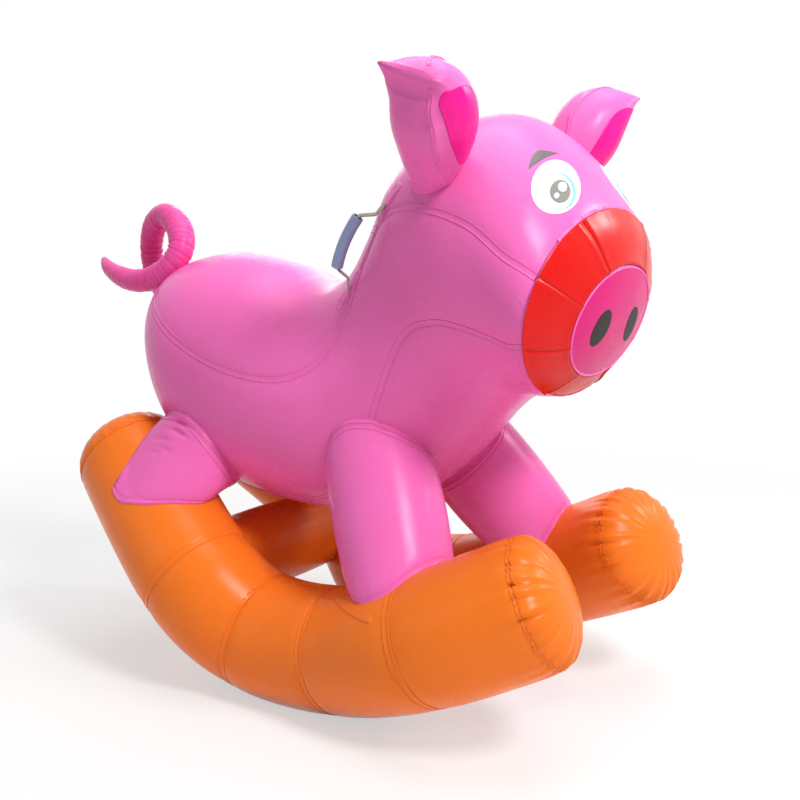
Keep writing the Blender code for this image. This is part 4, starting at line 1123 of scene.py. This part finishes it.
face = {
    "eyeCentre": (0.655, 0.150, 1.106), "eyeWide": (0.024, -0.058, 0.002), "eyeHigh": (-0.022, -0.043, 0.053),
    "pupilCentre": (0.662, 0.154, 1.094), "pupilWide": (0.010, -0.024, 0.000),
    "pupilHigh": (-0.009, -0.018, 0.022),
    "farEyeShift": (0.004, -0.014, 0.006),  # the far eye sits a little nearer to the middle
    "blueReach": 1.62, "blueWidth": 0.46, "blueTurn": (-80, 100),
    "glints": {"glint": (0.16, 0.36, 0.44), "small_glint": (-0.36, -0.40, 0.24)},  # across, up, size
    "browOuter": ((0.611, 0.186, 1.133), (0.603, 0.160, 1.158), (0.603, 0.128, 1.176), (0.626, 0.084, 1.172)),
    "browInner": ((0.611, 0.186, 1.133), (0.616, 0.158, 1.147), (0.620, 0.124, 1.160), (0.626, 0.084, 1.172)),
    "nostrilCentre": (0.717, 0.074, 0.836), "nostrilTilt": 20.0, "nostrilSize": (0.0300, 0.040),
    "edge": -0.0002,
    "lift": {"white": 0.0004, "brow": 0.0005, "blue": 0.0007, "pupil": 0.0009, "glint": 0.0013},
}


def printPatch(name, outline, ink, lift, tree=trunkTree, slot="pink_skin", rings=12):
    rows = [(1.0, face["edge"])] + [(share, face["lift"][lift]) for share in np.linspace(0.985, 0.04, rings)]
    laidPatch(name, outline, rows, tree, inks[ink], slot)


def ovalOutline(centre, wide, high, count=72):
    t = np.linspace(0, math.tau, count, endpoint=False)[:, None]
    return np.array(centre) + np.array(wide) * np.cos(t) + np.array(high) * np.sin(t)


def ribbonPrint(name, outer, inner, ink):
    shares = np.linspace(0, 1, 9)[:, None, None]
    rises = np.where((shares == 0) | (shares == 1), face["edge"], face["lift"][ink])[..., 0]
    points, outward = settle(outer[None] * (1 - shares) + inner[None] * shares, trunkTree, rises)
    place(gridPiece(name, points, outward, inks[ink]), "pink_skin")


def buildEye(word, side):
    flip = np.array((1.0, side, 1.0))
    shift = np.array(face["farEyeShift"]) * (side > 0)
    names = ("eyeCentre", "eyeWide", "eyeHigh", "pupilCentre", "pupilWide", "pupilHigh")
    centre, wide, high, pupil, across, up = (np.array(face[name]) * flip for name in names)
    pupil = pupil + shift
    printPatch(word + "_eye_white", ovalOutline(centre + shift, wide, high), "white", "white")
    turn = np.radians(np.linspace(*face["blueTurn"], 48))[:, None]
    spoke = across * np.cos(turn) + up * np.sin(turn)
    width = face["blueWidth"] * np.sin(np.linspace(0, math.pi, 48))[:, None]**0.7
    reach = face["blueReach"]
    ribbonPrint(word + "_eye_blue", pupil + spoke * reach, pupil + spoke * (reach - width), "blue")
    printPatch(word + "_eye_pupil", ovalOutline(pupil, across, up), "grey", "pupil")
    for part, (sideways, upward, size) in face["glints"].items():
        spot = ovalOutline(pupil + across * sideways + up * upward, across * size, up * size, 24)
        printPatch(f"{word}_eye_{part}", spot, "white", "glint", rings=4)
    outer, inner = (smoothLine(np.array(face[name]) * flip, 40) for name in ("browOuter", "browInner"))
    ribbonPrint(word + "_brow", outer, inner, "brow")


def buildNostril(word, side):
    lean = math.radians(face["nostrilTilt"])
    way = discUp * math.cos(lean) - np.array((0.0, side, 0.0)) * math.sin(lean)
    halfWide, halfLong = face["nostrilSize"]
    centre = np.array(face["nostrilCentre"]) * (1.0, side, 1.0)
    outline = ovalOutline(centre, np.cross(discForward, way) * halfWide, way * halfLong)
    printPatch(word + "_nostril", outline, "dark", "white", snoutTree, "magenta_skin")


for word, side in sides.items():
    buildEye(word, side)
    buildNostril(word, side)
print("face printed")


# valves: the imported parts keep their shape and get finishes, and the springs become wire coils

valveSpring = {"wire": 0.0004, "turns": 4, "pointsPerTurn": 48, "wireSides": 10}


def buildSpring(chamber):  # a fixed wire coil in the spring's box; the real spring shortens as the plunger is pushed in, but this coil keeps its length
    node = f"{chamber}_valve_spring"
    low, high = (np.array(corner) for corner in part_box(node))
    wire = valveSpring["wire"]
    coil = (high[0] - low[0]) / 2 - wire
    turns = valveSpring["turns"]
    t = np.linspace(0, math.tau * turns, turns * valveSpring["pointsPerTurn"] + 1)
    middle = (low + high) / 2
    heights = np.linspace(low[2] + wire, high[2] - wire, len(t))
    line = np.stack([middle[0] + coil * np.cos(t), middle[1] + coil * np.sin(t), heights], axis=1)
    points = ringPoints(line, *lineFrames(line)[1:], wire, roundTurns(valveSpring["wireSides"]))
    piece = gridPiece(node + "_coil", points, points - line[:, None], springSteel, wrap=True,
                      startTip=line[0], endTip=line[-1])
    place(piece, "spring_steel", node)
    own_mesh(piece)


for chamber in ("body", "base"):
    for part in ("base", "plunger", "lid"):
        frame["nodes"][f"{chamber}_valve_{part}"].material_slots[0].material = valvePlastic
    buildSpring(chamber)


# floor, light and camera

studio = {
    "floorColour": (0.88, 0.88, 0.88), "floorShade": 0.985, "floorCloud": (3.0, 4.0),
    "floorSize": 60.0, "floorDrop": 0.0006,
    "floorGlow": 0.55, "floorFade": (1.3, 3.2), "worldLight": 0.25,
    "lamps": (  # name, place, watts, size
        ("keyLight", (3.4, -1.1, 3.7), 160.0, 1.2), ("fillLight", (-2.0, -4.2, 2.0), 14.0, 2.8),
        ("topLight", (0.2, 0.4, 4.4), 105.0, 3.6), ("backLight", (-2.4, 3.2, 2.6), 26.0, 2.2),
        ("farLight", (2.3, 2.4, 2.4), 26.0, 0.6),
    ),
    "lampTarget": (0.0, 0.0, 0.6),
    "cameraPlace": (1.577, -2.021, 0.985), "cameraTurn": 34.4, "cameraTip": 7.9,
    "lens": 48.375, "sensor": 36.0,
}


def brightToCamera(tree, shader, output, amount=None):  # white where it is seen, with no light of its own
    path = addNode(tree, "LightPath").outputs
    seen = combine(tree, "MAXIMUM", path["Is Camera Ray"], path["Is Glossy Ray"])
    seen = combine(tree, "MAXIMUM", seen, path["Is Transmission Ray"])
    if amount is not None:
        seen = combine(tree, "MULTIPLY", seen, amount)
    white = addNode(tree, "Background" if output.bl_idname == "ShaderNodeOutputWorld" else "Emission",
                    {"Color": (1.0, 1.0, 1.0, 1.0), "Strength": 1.0})
    mix = addNode(tree, "MixShader", links={0: seen, 1: shader, 2: white.outputs[0]})
    tree.links.new(mix.outputs[0], output.inputs["Surface"])


def buildFloor():
    material, tree, shader = startMaterial("paleFloor")
    place3d = objectPlace(tree)
    colour = studio["floorColour"]
    clouds = noise(tree, place3d, *studio["floorCloud"])
    tone = ramp(tree, clouds, darker(colour, studio["floorShade"]), colour)
    endMaterial(tree, shader, tone, None, {"Roughness": 0.9, "Specular IOR Level": 0.0})
    apart = addNode(tree, "VectorMath", links={0: place3d}, operation="LENGTH")
    near, far = studio["floorFade"]
    fade = addNode(tree, "MapRange",
                   {"From Min": near, "From Max": far, "To Min": studio["floorGlow"], "To Max": 1.0},
                   {"Value": apart.outputs["Value"]}, clamp=True, interpolation_type="SMOOTHSTEP")
    brightToCamera(tree, shader.outputs[0], tree.nodes["Material Output"], fade.outputs["Result"])
    bpy.ops.mesh.primitive_plane_add(size=studio["floorSize"], location=(0.0, 0.0, -studio["floorDrop"]))
    floor = bpy.context.object
    floor.name = "floor"
    floor.data.materials.append(material)


def buildLight():
    world = bpy.data.worlds.new("studioWorld")
    bpy.context.scene.world = world
    world.use_nodes = True
    soft = world.node_tree.nodes["Background"]
    soft.inputs["Color"].default_value = (1.0, 1.0, 1.0, 1.0)
    soft.inputs["Strength"].default_value = studio["worldLight"]
    brightToCamera(world.node_tree, soft.outputs[0], world.node_tree.nodes["World Output"])
    for name, spot, watts, size in studio["lamps"]:
        lamp = bpy.data.lights.new(name, "AREA")
        lamp.energy = watts
        lamp.size = size
        lamp.shape = "DISK"
        light = bpy.data.objects.new(name, lamp)
        light.location = spot
        way = Vector(studio["lampTarget"]) - Vector(spot)
        light.rotation_euler = way.to_track_quat("-Z", "Y").to_euler()
        bpy.context.scene.collection.objects.link(light)


def buildCamera():
    turn, tip = math.radians(studio["cameraTurn"]), math.radians(studio["cameraTip"])
    forward = Vector((-math.sin(turn) * math.cos(tip), math.cos(turn) * math.cos(tip), -math.sin(tip)))
    lens = bpy.data.cameras.new("camera")
    lens.lens = studio["lens"]
    lens.sensor_width = studio["sensor"]
    camera = bpy.data.objects.new("camera", lens)
    camera.location = studio["cameraPlace"]
    camera.rotation_euler = forward.to_track_quat("-Z", "Y").to_euler()
    bpy.context.scene.collection.objects.link(camera)
    bpy.context.scene.camera = camera


buildFloor()
buildLight()
buildCamera()
bpy.context.scene.view_settings.view_transform = "Standard"
print("studio set")
